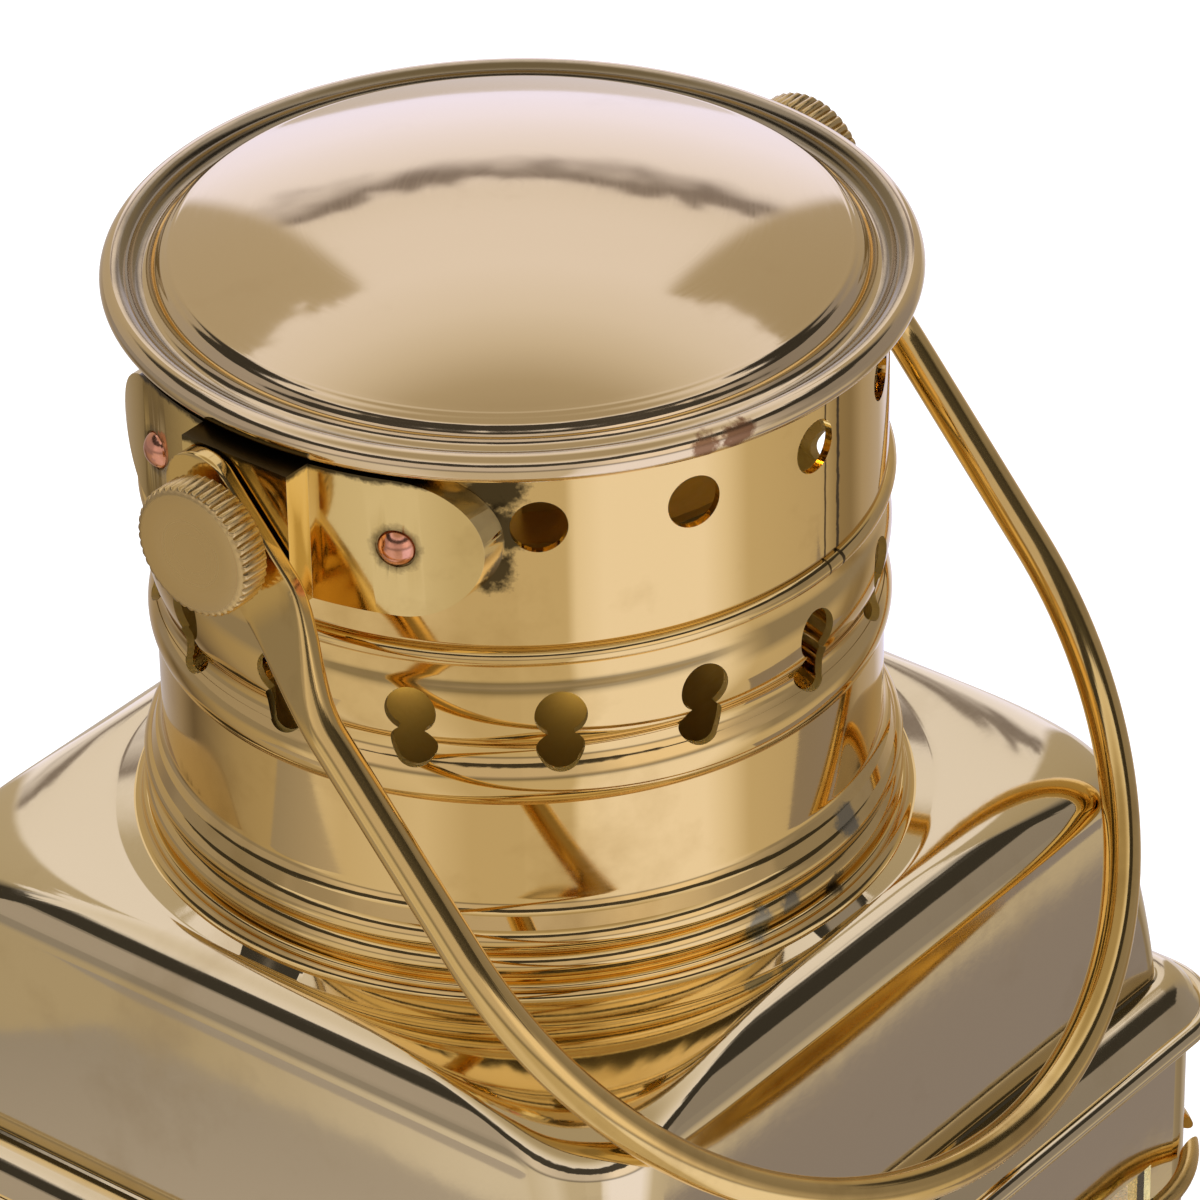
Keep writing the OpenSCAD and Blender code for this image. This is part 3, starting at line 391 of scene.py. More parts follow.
@dataclass(frozen=True)
class Palette:
    """All finishes of the lantern, made once."""

    # Mirror-polished spun brass of the drum and collar, with grey solder left along the lower joint
    spun: bpy.types.Material
    # Mirror-polished sleeve with its upright soldered seam and painted shade beside the bracket, under the cap's rim
    sleeve: bpy.types.Material
    # Unpolished brown inside of the chimney
    inside: bpy.types.Material
    # The cap's paler spun brass, polished the most
    cap: bpy.types.Material
    # Mirror-polished pressed sheet: crisp reflections that waver a little
    sheet: bpy.types.Material
    # Satin sheet for the body and inner parts
    satin: bpy.types.Material
    # Filed and buffed strap, with painted shadow of the cap along its top edge
    strap: bpy.types.Material
    # Turned screws with a dull face
    turned: bpy.types.Material
    # Drawn rod with long fine lines
    drawn: bpy.types.Material
    # Copper rivet heads
    copper: bpy.types.Material
    # Glass
    glass: bpy.types.Material
    # Wick
    wick: bpy.types.Material

    @classmethod
    def mix(cls) -> "Palette":
        """Makes every material of the lantern."""
        return cls(
            spun=Metal("polished_spun_brass", "#EECC7F", "#C09A4F", 0.05, Grain.ROUND,
                       wave_mm=26, wave_deep_mm=0.012,
                       marks=(Mark(Spread.POINT, (-11.6, -46.4, 211.0), 2.6, "#9A9579", 0.3, ragged=0.9),
                              Mark(Spread.POINT, (-7.0, -47.0, 211.6), 2.2, "#858069", 0.35, ragged=0.9),
                              Mark(Spread.POINT, (5.6, -46.4, 217.0), 2.6, "#918C73", 0.3, ragged=0.9),
                              Mark(Spread.POINT, (1.5, -47.6, 210.5), 1.8, "#5A4F35", 0.4, ragged=0.9))).make(),
            sleeve=Metal("polished_sleeve_brass", "#EECC7F", "#C09A4F", 0.05, Grain.ROUND,
                         wave_mm=26, wave_deep_mm=0.012,
                         marks=(Mark(Spread.SEAM, (-84.0, 0.0, 0.0), 0.38, "#3A2A13", 0.4, ragged=1.2),
                                Mark(Spread.SEAM, (-87.5, 0.0, 0.0), 0.22, "#5A441D", 0.3, ragged=0.8),
                                # Painted shade: three dark patches beside the bracket strap, under the cap's rim
                                Mark(Spread.POINT, (-37.0, -27.0, 279.0), 4.6, "#1E180C", 0.2, grain_mm=1.6),
                                Mark(Spread.POINT, (-37.0, -27.0, 273.0), 4.2, "#251D0F", 0.2, grain_mm=1.6),
                                Mark(Spread.POINT, (-37.4, -26.4, 267.5), 3.4, "#2B2212", 0.2,
                                     grain_mm=1.6))).make(),
            inside=Metal("brown_inner_brass", "#8F7436", "#6E5326", 0.5, Grain.CROSS, grain_mm=0.8,
                         film_share=0.4, bare=0.3).make(),
            cap=Metal("bright_spun_brass", "#EDD49E", "#D2B37A", 0.075, Grain.ROUND,
                      wave_mm=40, wave_deep_mm=0.008, film_share=0.12,
                      # The ring mark darkens the channel inside the rim's roll to grey
                      marks=(Mark(Spread.RING, (46.5, 0.0, 0.0), 1.9, "#6B6145", 0.22, cover=0.72, ragged=0.25,
                                  grain_mm=9),
                             Mark(Spread.POINT, (-20.6, -45.6, 283.2), 2.2, "#94673F", 0.35, ragged=0.9,
                                  grain_mm=1.6),
                             Mark(Spread.POINT, (-16.6, -47.2, 283.4), 2.4, "#8C5F3A", 0.35, ragged=0.9,
                                  grain_mm=1.6))).make(),
            sheet=Metal("polished_sheet_brass", "#EED9A2", "#CBB077", 0.06, Grain.CROSS,
                        wave_mm=15, wave_deep_mm=0.035, wave_detail=3.0, film_share=0.18).make(),
            satin=Metal("satin_sheet_brass", "#E6C170", "#A88543", 0.24, Grain.CROSS,
                        grain_mm=0.5, wave_mm=30, film_share=0.3).make(),
            strap=Metal("buffed_strap_brass", "#EFD285", "#B08C48", 0.1, Grain.CROSS,
                        grain_mm=0.5, grain_deep_mm=0.001, film_mm=14, film_share=0.15,
                        # Painted shadow of the cap along the strap's top edge
                        marks=(Mark(Spread.LEVEL, (0.0, 0.0, 281.2), 1.5, "#1C150A", 0.3, grain_mm=1.8),
                               # Darker patches round each rivet head, where it meets the strap
                               *(Mark(Spread.POINT, (x * 45.15, y * 18.5, 271.4), 3.5, "#2A1C0B", 0.3,
                                      ragged=0.25, grain_mm=1.2) for x in (-1, 1) for y in (-1, 1)))).make(),
            turned=Metal("turned_screw_brass", "#DFC07C", "#A88450", 0.26, Grain.PIVOT,
                         grain_mm=2.2, grain_deep_mm=0.0002, film_share=0.2).make(),
            drawn=Metal("drawn_rod_brass", "#EAC776", "#A68040", 0.1, Grain.ALONG,
                        grain_mm=0.5, grain_deep_mm=0.003, wave_mm=9, wave_deep_mm=0.03,
                        film_share=0.3).make(),
            copper=Metal("hammered_copper", "#F0AA80", "#9C5A34", 0.16, Grain.CROSS, wave_mm=2.2,
                         wave_deep_mm=0.012, film_mm=3, film_share=0.2).make(),
            glass=Glass().make(),
            wick=Cotton().make(),
        )


# Mesh tools


def settle(bm: bmesh.types.BMesh, name: str, finish: bpy.types.Material, sharp: float = 32.0,
           recalc: bool = True) -> bpy.types.Object:
    """Turns a bmesh, in metres, into a smooth-shaded object at the origin.

    Args:
        bm: The mesh; it is freed.
        name: Name of the piece.
        finish: Its material.
        sharp: Angle above which an edge stays sharp, in degrees.
        recalc: Whether the normals are worked out again.

    Returns:
        The new object.
    """
    bmesh.ops.remove_doubles(bm, verts=bm.verts, dist=1e-7)
    if recalc:
        bmesh.ops.recalc_face_normals(bm, faces=bm.faces)
    mesh = bpy.data.meshes.new(name)
    bm.to_mesh(mesh)
    bm.free()
    mesh.polygons.foreach_set("use_smooth", [True] * len(mesh.polygons))
    mesh.set_sharp_from_angle(angle=math.radians(sharp))
    mesh.materials.append(finish)
    piece = bpy.data.objects.new(name, mesh)
    bpy.context.scene.collection.objects.link(piece)
    return piece


def seat(piece: bpy.types.Object, body: str, slot: str, *nodes: str) -> bpy.types.Object:
    """Puts a piece on its body, in place of its CAD nodes.

    Args:
        piece: The finished piece.
        body: CAD body that it rides on.
        slot: The record's material slot; not used.
        nodes: CAD nodes that it stands for.

    Returns:
        The piece.
    """
    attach(piece, body)
    if nodes:
        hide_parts(*nodes)
    log.info("piece %s: %d faces on %s", piece.name, len(piece.data.polygons), body)
    return piece


def section_loop(bm: bmesh.types.BMesh, section: Sequence[Point], lift: float) -> list[Any]:
    """Draws a closed section in the XZ plane.

    Args:
        bm: Mesh to draw in.
        section: Points in mm, x from the axis and y up.
        lift: Height of the section's zero, in mm.

    Returns:
        The vertices and edges; an edge that lies on the axis is left out.
    """
    verts = [bm.verts.new((x * MM, 0, (y + lift) * MM)) for x, y in section]
    pairs = list(zip(verts, verts[1:] + verts[:1]))
    edges = [bm.edges.new(pair) for pair in pairs if max(pair[0].co.x, pair[1].co.x) > 1e-9]
    return verts + edges


def lathe(section: Sequence[Point], lift: float = 0.0, steps: int = 256) -> bmesh.types.BMesh:
    """Spins a closed section a full turn round Z.

    Args:
        section: Points in mm, x from the axis and y up.
        lift: Height of the section's zero, in mm.
        steps: Number of straight sides.

    Returns:
        The mesh, in metres.
    """
    bm = bmesh.new()
    bmesh.ops.spin(bm, geom=section_loop(bm, section, lift), cent=(0, 0, 0), axis=(0, 0, 1),
                   angle=math.tau, steps=steps, use_merge=True)
    bmesh.ops.remove_doubles(bm, verts=bm.verts, dist=1e-7)
    bmesh.ops.recalc_face_normals(bm, faces=bm.faces)
    return bm


def reach(wide: float, tall: float, corner: float, turn: float) -> float:
    """Distance from the middle of a rounded rectangle to its edge.

    Args:
        wide: Half of its width.
        tall: Half of its height.
        corner: Radius of its corners.
        turn: Direction, in radians.

    Returns:
        The distance, in the same unit.
    """
    c, s = abs(math.cos(turn)), abs(math.sin(turn))
    flat_x, flat_y = wide - corner, tall - corner
    if wide * s <= flat_y * c:
        return wide / c
    if tall * c <= flat_x * s:
        return tall / s
    b = flat_x * c + flat_y * s
    return b + math.sqrt(max(0.0, b * b - flat_x ** 2 - flat_y ** 2 + corner ** 2))


def loft(count: int, rings: Sequence[Callable[[float], Vector]]) -> bmesh.types.BMesh:
    """Extrudes a ring of vertices through a row of shapes.

    Args:
        count: Number of vertices in the ring.
        rings: For each step, a function that gives a vertex's place from its angle on the ring.

    Returns:
        The open tube; its float layer "turn" keeps each vertex's angle.
    """
    bm = bmesh.new()
    bmesh.ops.create_circle(bm, segments=count, radius=1.0)
    layer = bm.verts.layers.float.new("turn")
    verts, edges = list(bm.verts), list(bm.edges)
    for v in verts:
        v[layer] = math.atan2(v.co.y, v.co.x)
    for i, ring in enumerate(rings):
        if i:
            grown = bmesh.ops.extrude_edge_only(bm, edges=edges)["geom"]
            verts = [g for g in grown if isinstance(g, bmesh.types.BMVert)]
            edges = [g for g in grown if isinstance(g, bmesh.types.BMEdge) and len(g.link_faces) == 1]
        for v in verts:
            v.co = ring(v[layer])
    return bm


def moulding(section: Sequence[Point], half: float, corner: float, lift: float,
             steps: int = 16) -> bmesh.types.BMesh:
    """Runs a closed section round a rounded square.

    Args:
        section: Points in mm, x from the straight sides and y up.
        half: Half of the square's width, in mm.
        corner: Radius of its corners, in mm.
        lift: Height of the section's zero, in mm.
        steps: Straight pieces in each corner.

    Returns:
        The mesh, in metres.
    """
    bm = bmesh.new()
    run = half - corner
    geom = section_loop(bm, [(half + x, y) for x, y in section], lift)
    verts = [g for g in geom if isinstance(g, bmesh.types.BMVert)]
    bmesh.ops.translate(bm, verts=verts, vec=(0, -run * MM, 0))
    for side in range(4):
        turn = math.radians(90 * side)
        ahead = Vector((-math.sin(turn), math.cos(turn), 0)) * 2 * run * MM
        edges = [g for g in geom if isinstance(g, bmesh.types.BMEdge)]
        grown = bmesh.ops.extrude_edge_only(bm, edges=edges)["geom"]
        verts = [g for g in grown if isinstance(g, bmesh.types.BMVert)]
        bmesh.ops.translate(bm, verts=verts, vec=ahead)
        last = [g for g in grown if not isinstance(g, bmesh.types.BMFace)]
        middle = Matrix.Rotation(turn, 3, "Z") @ Vector((run, run, 0)) * MM
        geom = bmesh.ops.spin(bm, geom=last, cent=middle, axis=(0, 0, 1), angle=math.pi / 2,
                              steps=steps)["geom_last"]
    return bm


def rods(radius: float, depth: float, places: Sequence[Matrix], steps: int = 48) -> bpy.types.Object:
    """Makes round cutters.

    Args:
        radius: Their radius, in mm.
        depth: Their length, in mm.
        places: One matrix for each cutter, in metres; it turns a rod that stands on the origin.
        steps: Number of straight sides.

    Returns:
        One object that holds all the cutters.
    """
    bm = bmesh.new()
    for place in places:
        made = bmesh.ops.create_cone(bm, cap_ends=True, segments=steps, radius1=radius * MM,
                                     radius2=radius * MM, depth=depth * MM)
        bmesh.ops.transform(bm, matrix=place, verts=made["verts"])
    mesh = bpy.data.meshes.new("cutter")
    bm.to_mesh(mesh)
    bm.free()
    cutter = bpy.data.objects.new("cutter", mesh)
    bpy.context.scene.collection.objects.link(cutter)
    return cutter


def punch(piece: bpy.types.Object, *cutters: bpy.types.Object) -> None:
    """Cuts holes in a piece for good and removes the cutters.

    Args:
        piece: The piece.
        cutters: Closed meshes to take away.
    """
    for cutter in cutters:
        hole = piece.modifiers.new("hole", "BOOLEAN")
        hole.operation, hole.object, hole.solver = "DIFFERENCE", cutter, "EXACT"
    cut = bpy.data.meshes.new_from_object(piece.evaluated_get(bpy.context.evaluated_depsgraph_get()))
    piece.modifiers.clear()
    old = piece.data
    piece.data = cut
    bpy.data.meshes.remove(old)
    for cutter in cutters:
        bpy.data.objects.remove(cutter)


def line_inside(piece: bpy.types.Object, finish: bpy.types.Material, wall: float) -> None:
    """Gives the faces within a turned piece's wall their own finish.

    Args:
        piece: The turned piece.
        finish: Finish of the inside.
        wall: Radius, in mm, inside of which a face belongs to the inside.
    """
    piece.data.materials.append(finish)
    for face in piece.data.polygons:
        inward = face.normal.x * face.center.x + face.normal.y * face.center.y < 0
        if inward and math.hypot(face.center.x, face.center.y) < wall * MM:
            face.material_index = 1


def true_normals(piece: bpy.types.Object, outline: Sequence[Point], lift: float,
                 sharp: float = 32.0) -> None:
    """Gives a turned piece the exact normals of its outline, also beside its holes.

    Args:
        piece: The turned piece.
        outline: Its outer outline, in mm, from its foot up.
        lift: Height of the outline's zero, in mm.
        sharp: Angle above which two parts of the outline don't blend, in degrees.
    """
    points = [Vector((x, y + lift)) for x, y in outline]
    runs = [b - a for a, b in zip(points, points[1:])]
    facing = [Vector((r.y, -r.x)).normalized() for r in runs]
    limit = math.cos(math.radians(sharp))

    def blend(i: int, j: int) -> Vector:
        """Normal at the joint of two runs, seen from the first."""
        if 0 <= j < len(facing) and facing[i].dot(facing[j]) > limit:
            return (facing[i] + facing[j]).normalized()
        return facing[i]

    mesh = piece.data
    normals = [Vector((0, 0, 0))] * len(mesh.loops)
    for face in mesh.polygons:
        spot = Vector((math.hypot(face.center.x, face.center.y), face.center.z)) / MM
        best, near = -1, 0.06
        for i, (a, r) in enumerate(zip(points, runs)):
            share = max(0.0, min(1.0, (spot - a).dot(r) / r.length_squared))
            away = (a + r * share - spot).length
            if away < near:
                best, near = i, away
        out = Vector((face.center.x, face.center.y)).normalized()
        level = Vector((face.normal.x * out.x + face.normal.y * out.y, face.normal.z))
        if best < 0 or level.dot(facing[best]) < 0.9:
            continue
        first, last = blend(best, best - 1), blend(best, best + 1)
        # Short runs belong to a curve; on long straight ones only the ends blend
        zone = 1.0 if runs[best].length < 1 else 0.25 / runs[best].length
        for k in face.loop_indices:
            place = mesh.vertices[mesh.loops[k].vertex_index].co
            away = math.hypot(place.x, place.y)
            flat = Vector((away, place.z)) / MM
            share = max(0.0, min(1.0, (flat - points[best]).dot(runs[best]) / runs[best].length_squared))
            low, high = max(0.0, 1 - share / zone), max(0.0, 1 - (1 - share) / zone)
            turn = (first * low + facing[best] * (1 - low - high) + last * high).normalized()
            normals[k] = Vector((turn.x * place.x / away, turn.x * place.y / away, turn.y))
    mesh.normals_split_custom_set(normals)


# Chimney


@dataclass
class Chimney:
    """The cap, sleeve, drum and collar, all spun from sheet."""

    palette: Palette
    cap_r: float = 50.0
    bead_r: float = 1.8
    crown_h: float = 10.5
    crown_r: float = 41.0
    crown_foot: float = 3.3
    sleeve_r: float = 45.8
    sleeve_h: float = 29.0
    drum_h: float = 44.3
    sheet: float = 1.0
    vent_r: float = 3.45
    vent_drop: float = 9.7
    vent_count: int = 5
    vent_step: float = 23.8
    slot_count: int = 16
    slot_r: float = 3.2
    slot_pitch: float = 5.2
    collar_z: float = 207.5
    drum_z: float = 209.7
    sleeve_z: float = 254.0
    rim_z: float = 283.0

    def cap_section(self) -> list[Point]:
        """Half section of the cap: roll, channel, fine ridges, crown and spigot."""
        rise = self.crown_h - self.crown_foot
        ball = (self.crown_r ** 2 + rise ** 2) / (2 * rise)
        lean = math.degrees(math.asin(self.crown_r / ball))
        bead_x = self.cap_r - self.bead_r
        channel = (bead_x - 3.1, 1.55)
        drop = 20.0
        bend = (channel[0] - 1.65 - self.crown_r) / (math.cos(math.radians(drop)) - math.sin(math.radians(lean)))
        middle = (self.crown_r - bend * math.sin(math.radians(lean)),
                  self.crown_foot - bend * math.cos(math.radians(lean)))
        ridges, steps = [], 48
        for i in range(steps):
            turn = math.radians(drop + (90 - lean - drop) * i / steps)
            reach = bend + 0.025 * (1 - math.cos(math.tau * 3 * i / steps))
            ridges.append((middle[0] + reach * math.cos(turn), middle[1] + reach * math.sin(turn)))
        spigot = self.sleeve_r - self.sheet - 0.08
        return (arc((bead_x, 0), self.bead_r, -60, 140, 36) + arc(channel, 1.5, -15, -165, 24) + ridges
                + arc((0, self.crown_h - ball), ball, 90 - lean, 90, 48)
                + arc((0, self.crown_h - ball), ball - self.sheet, 90, 90 - lean, 12)
                + [(spigot - self.sheet, -1.4), (spigot - self.sheet, -6), (spigot, -6), (spigot, -1.9),
                   (self.sleeve_r + 0.8, -1.9)])

    def drum_outline(self) -> list[Point]:
        """Outer outline of the lower drum, from its foot up."""
        r = self.sleeve_r - 0.5
        return ([(r + 1.6, 0)] + arc((r + 0.7, 1.9), 1.9, -60, 60, 16) + arc((r + 0.6, 5.5), 1.9, -75, 60, 18)
                + arc((r + 2.2, 10.6), 2.2, 235, 180, 12) + [(r, 10.9), (r, 24.1), (r, 24.4)]
                + arc((r - 3.8, 27.3), 4.8, -35, 35, 20) + arc((r + 2.1, 31.6), 2.6, 218, 152, 14)
                + arc((r - 11.3, 37.6), 12.2, -19, 19, 20) + [(r, self.drum_h - 1.8), (r, self.drum_h)])

    def sleeve_outline(self) -> list[Point]:
        """Outer outline of the upper sleeve, from its bead up."""
        r = self.sleeve_r
        return (arc((r - 0.3, 1.2), 1.2, -90, 90, 20)
                + [(r, 2.9), (r, 3.2), (r, self.sleeve_h - 2.2), (r, self.sleeve_h - 1.9)])

    def vents(self, radius: float, level: float, turns: Sequence[float]) -> bpy.types.Object:
        """Cutters that point outwards at one height.

        Args:
            radius: Radius of each vent, in mm.
            level: Height of their middles, in mm.
            turns: Angles from +X, in degrees.

        Returns:
            The cutters.
        """
        out = Matrix.Translation((self.sleeve_r * MM, 0, level * MM)) @ Matrix.Rotation(math.pi / 2, 4, "Y")
        return rods(radius, 12, [Matrix.Rotation(math.radians(t), 4, "Z") @ out for t in turns])

    def build(self) -> None:
        """Builds and dresses the chimney's pieces."""
        spun = self.palette.spun
        cap = settle(lathe(self.cap_section(), self.rim_z), "cap_spun", self.palette.cap)
        seat(cap, "lantern", "polished_brass", "chimney_cap")

        outline = self.sleeve_outline()
        r = self.sleeve_r - self.sheet
        sleeve = settle(lathe(outline + [(r, self.sleeve_h - 1.9), (r, 0)], self.sleeve_z), "sleeve_sheet",
                        self.palette.sleeve)
        turns = [side + (i - (self.vent_count - 1) / 2) * self.vent_step
                 for side in (90, 270) for i in range(self.vent_count)]
        punch(sleeve, self.vents(self.vent_r, self.rim_z - self.vent_drop, turns))
        line_inside(sleeve, self.palette.inside, r + 0.2)
        true_normals(sleeve, outline, self.sleeve_z)
        seat(sleeve, "lantern", "polished_brass", "chimney_sleeve")

        outline = self.drum_outline()
        inside = [(x - self.sheet, y) for x, y in reversed(outline)]
        drum = settle(lathe(outline + inside, self.drum_z), "drum_spun", spun)
        turns = [i * 360 / self.slot_count for i in range(self.slot_count)]
        level = self.drum_z + 37.4
        punch(drum, self.vents(self.slot_r, level, turns),
              self.vents(self.slot_r * 0.92, level - self.slot_pitch, turns))
        line_inside(drum, self.palette.inside, self.sleeve_r + 0.6)
        true_normals(drum, outline, self.drum_z)
        seat(drum, "lantern", "polished_brass", "chimney_drum")

        foot, neck = self.sleeve_r + 3.7, self.sleeve_r - 4
        section = ([(neck, 0), (foot, 0)] + arc((foot, 1.3), 1.3, -90, -165, 12)
                   + arc((foot - 1.8, 1.55), 0.65, -60, 90, 12) + [(neck, 2.2)])
        seat(settle(lathe(section, self.collar_z), "collar_spun", spun), "lantern", "polished_brass",
             "roof_collar")


# Roof


@dataclass
class Roof:
    """The pressed square hood and the moulding under it."""

    palette: Palette
    eave_z: float = 170.0
    roof_h: float = 37.5
    shoulder_half: float = 57.2
    shoulder_r: float = 7.0
    eave_half: float = 59.0
    corner_r: float = 12.0
    eave_corner_r: float = 4.0
    hole_r: float = 41.0
    foot_r: float = 49.5
    sheet: float = 1.0
    body_half: float = 63.5
    eave_out: float = 3.5
    eave_h: float = 8.0
    bead_r: float = 1.4
    sides: int = 720

    def stations(self, inset: float) -> list[tuple[float, float, float]]:
        """Stations down the roof: half width, height above the eave and corner radius, in mm."""
        plateau = self.shoulder_half - self.shoulder_r
        top = self.roof_h - 0.8
        found = [(self.hole_r, self.roof_h - inset, self.hole_r), (self.foot_r, self.roof_h - inset, self.foot_r)]
        for i in range(33):
            t = i / 32
            found.append((plateau + (self.shoulder_r - inset) * math.sin(math.pi / 2 * t),
                          top - self.shoulder_r + (self.shoulder_r - inset) * math.cos(math.pi / 2 * t),
                          self.corner_r + (plateau - self.corner_r) * (1 - t) ** 2 * 0.9))
        for i in range(1, 25):
            t = i / 24
            found.append((self.shoulder_half - inset + (self.eave_half - self.shoulder_half) * math.sin(math.pi / 2 * t),
                          (top - self.shoulder_r) * (1 - t),
                          self.corner_r + (self.eave_corner_r - self.corner_r) * t))
        return found

    def hood(self) -> bpy.types.Object:
        """Draws the hood: one ring, extruded through the stations outside and back inside."""

        def ring(half: float, height: float, corner: float) -> Callable[[float], Vector]:
            """Places a vertex on a rounded square."""
            def place(turn: float) -> Vector:
                """Gives the place for one angle."""
                r = reach(half, half, corner, turn)
                return Vector((r * math.cos(turn), r * math.sin(turn), self.eave_z + height)) * MM
            return place

        bm = loft(self.sides, [ring(*r) for r in self.stations(0) + self.stations(self.sheet)[::-1]])
        bmesh.ops.bridge_loops(bm, edges=[e for e in bm.edges if len(e.link_faces) == 1])
        return settle(bm, "hood_pressed", self.palette.sheet, 40)

    def build(self) -> None:
        """Builds and dresses the hood and its moulding."""
        seat(self.hood(), "lantern", "polished_brass", "roof_hood")
        wall = self.body_half - self.sheet - self.eave_half
        out = self.body_half - self.eave_half + self.eave_out
        bead = (out - self.bead_r, self.eave_h - 5.5)
        flange = (out - 7.6, self.eave_h - 5.8)
        section = ([(wall - 0.5, 0), (wall + self.sheet + 0.2, 0)] + arc(bead, self.bead_r, -120, 110, 24)
                   + arc(flange, 5.6, 27, 90, 20) + [(0.1, self.eave_h), (-1.4, self.eave_h),
                                                     (-1.4, self.eave_h - 1.2)]
                   + arc(flange, 4.6, 90, 57, 8) + [(wall - 0.5, self.eave_h - 2.4)])
        eave = settle(moulding(section, self.eave_half, self.eave_corner_r, self.eave_z - self.eave_h),
                      "eave_pressed", self.palette.sheet)
        seat(eave, "lantern", "polished_brass", "eave_moulding")


# Bail


@dataclass
class Carrier:
    """The bail and its thumb screws."""

    palette: Palette
    rod_d: float = 4.8
    half: float = 57.4
    arm: float = 57.18
    pivot_z: float = 271.4
    fold: float = 49.2
    eye_w: float = 10.4
    eye_t: float = 2.2
    eye_tip: float = 10.6
    eye_in: float = 52.3
    strip: float = 8.5
    blend_end: float = 27.0
    eye_hole: float = 2.8
    knob_r: float = 8.4
    knob_t: float = 4.5
    knob_in: float = 55.9
    shank_r: float = 2.5
    shank_in: float = 46.1
    knurls: int = 44

    def sections(self) -> list[tuple[Vector, Vector, float, float, float]]:
        """Sections along the bail: middle, outward direction, two half sizes and corner radius."""
        found: list[tuple[Vector, Vector, float, float, float]] = []
        side = Vector((1, 0))
        flat_x, tip_r, thin = self.eye_in + self.eye_t / 2, self.eye_w / 2, self.eye_t / 2
        for i in range(1, 15):
            back = tip_r * (1 - math.cos(math.pi / 2 * i / 14))
            wide = math.sqrt(max(0.01, tip_r ** 2 - (tip_r - back) ** 2))
            found.append((Vector((flat_x, back - self.eye_tip)), side, thin, wide, min(0.45, wide * 0.8)))
        found += [(Vector((flat_x, y)), side, thin, tip_r, 0.45) for y in (-2.0, 2.0, 5.0, self.strip)]
        rod = self.rod_d / 2
        for i in range(1, 17):
            t = i / 16
            s = t * t * (3 - 2 * t)
            found.append((Vector((flat_x + (self.half - flat_x) * s, self.strip + (self.blend_end - self.strip) * t)),
                          side, thin + (rod - thin) * s, tip_r + (rod - tip_r) * s, 0.45 + (rod - 0.45) * s))
        found += [(Vector((self.half, self.blend_end + (self.arm - self.blend_end) * i / 12)), side, rod, rod, rod)
                  for i in range(1, 12)]
        for i in range(49):
            turn = math.pi / 2 * i / 48
            out = Vector((math.cos(turn), math.sin(turn)))
            found.append((Vector((0, self.arm)) + out * self.half, out, rod, rod, rod))
        flip = [(Vector((-c.x, c.y)), Vector((-o.x, o.y)), a, b, r) for c, o, a, b, r in reversed(found[:-1])]
        return found + flip

    def bail(self) -> bpy.types.Object:
        """Draws the bail: flat eyes that turn into a round rod, bent in a half circle."""
        spots = self.sections()
        far = [0.0]
        for last, here in zip(spots, spots[1:]):
            far.append(far[-1] + (here[0] - last[0]).length)

        def straight(wide: float, tall: float, corner: float, along: float) -> Callable[[float], Vector]:
            """Places a vertex on one section of the straight blank."""
            def place(turn: float) -> Vector:
                """Gives the place for one angle."""
                eased = math.atan2(tall * math.sin(turn), wide * math.cos(turn))
                r = reach(wide, tall, min(corner, wide, tall), eased)
                return Vector((r * math.cos(eased), r * math.sin(eased), along))
            return place

        bm = loft(64, [straight(a, b, c, z) for (_, _, a, b, c), z in zip(spots, far)])
        turn = bm.verts.layers.float["turn"]
        layer = bm.loops.layers.uv.new("along")
        girth = self.rod_d / 2
        for face in bm.faces:
            turns = [loop.vert[turn] for loop in face.loops]
            seam = max(turns) - min(turns) > math.pi
            for loop, angle in zip(face.loops, turns):
                wrapped = angle + math.tau if seam and angle < 0 else angle
                loop[layer].uv = (loop.vert.co.z * MM, wrapped * girth * MM)
        bmesh.ops.holes_fill(bm, edges=[e for e in bm.edges if len(e.link_faces) == 1], sides=0)
        for v in bm.verts:
            middle, out = spots[bisect_left(far, v.co.z - 0.001)][:2]
            v.co = Vector((middle.x + out.x * v.co.x, middle.y + out.y * v.co.x, v.co.y))
        lean = Matrix.Rotation(math.radians(180 + self.fold), 4, "X")
        bmesh.ops.transform(bm, verts=bm.verts,
                            matrix=Matrix.Translation((0, 0, self.pivot_z * MM)) @ lean @ Matrix.Scale(MM, 4))
        piece = settle(bm, "bail_rod", self.palette.drawn, 35)
        across = Matrix.Rotation(math.pi / 2, 4, "Y")
        level = self.pivot_z * MM
        holes = [Matrix.Translation((s * (self.eye_in + 1) * MM, 0, level)) @ across for s in (-1, 1)]
        punch(piece, rods(self.eye_hole, 8, holes))
        piece.data.polygons.foreach_set("use_smooth", [True] * len(piece.data.polygons))
        piece.data.set_sharp_from_angle(angle=math.radians(35))
        return piece

    def screw(self, name: str, side: int) -> bpy.types.Object:
        """Draws a thumb screw: knurled head, chamfers and shank.

        Args:
            name: Name of the piece.
            side: 1 for the right side, -1 for the left.

        Returns:
            The piece.
        """
        # Radius, height along the axis and depth of the knurl at each ring, from the shank's end out
        rings = [(self.shank_r - 0.4, self.shank_in - self.knob_in, 0.0),
                 (self.shank_r, self.shank_in - self.knob_in + 0.4, 0.0), (self.shank_r, 0.0, 0.0),
                 (self.knob_r - 0.9, 0.0, 0.0), (self.knob_r - 0.35, 0.15, 0.15), (self.knob_r, 0.5, 0.48),
                 (self.knob_r, self.knob_t - 0.55, 0.48), (self.knob_r - 0.25, self.knob_t - 0.2, 0.22),
                 (self.knob_r - 0.7, self.knob_t - 0.03, 0.0), (self.knob_r - 1.0, self.knob_t, 0.0),
                 (self.knob_r - 3.5, self.knob_t - 0.03, 0.0), (0.6, self.knob_t - 0.06, 0.0)]

        def ring(radius: float, height: float, deep: float) -> Callable[[float], Vector]:
            """Places a vertex on a knurled ring."""
            def place(turn: float) -> Vector:
                """Gives the place for one angle."""
                tooth = 1 - abs(math.sin(turn * self.knurls / 2)) ** 0.8
                r = (radius - deep * tooth) * MM
                return Vector((r * math.cos(turn), r * math.sin(turn), height * MM))
            return place

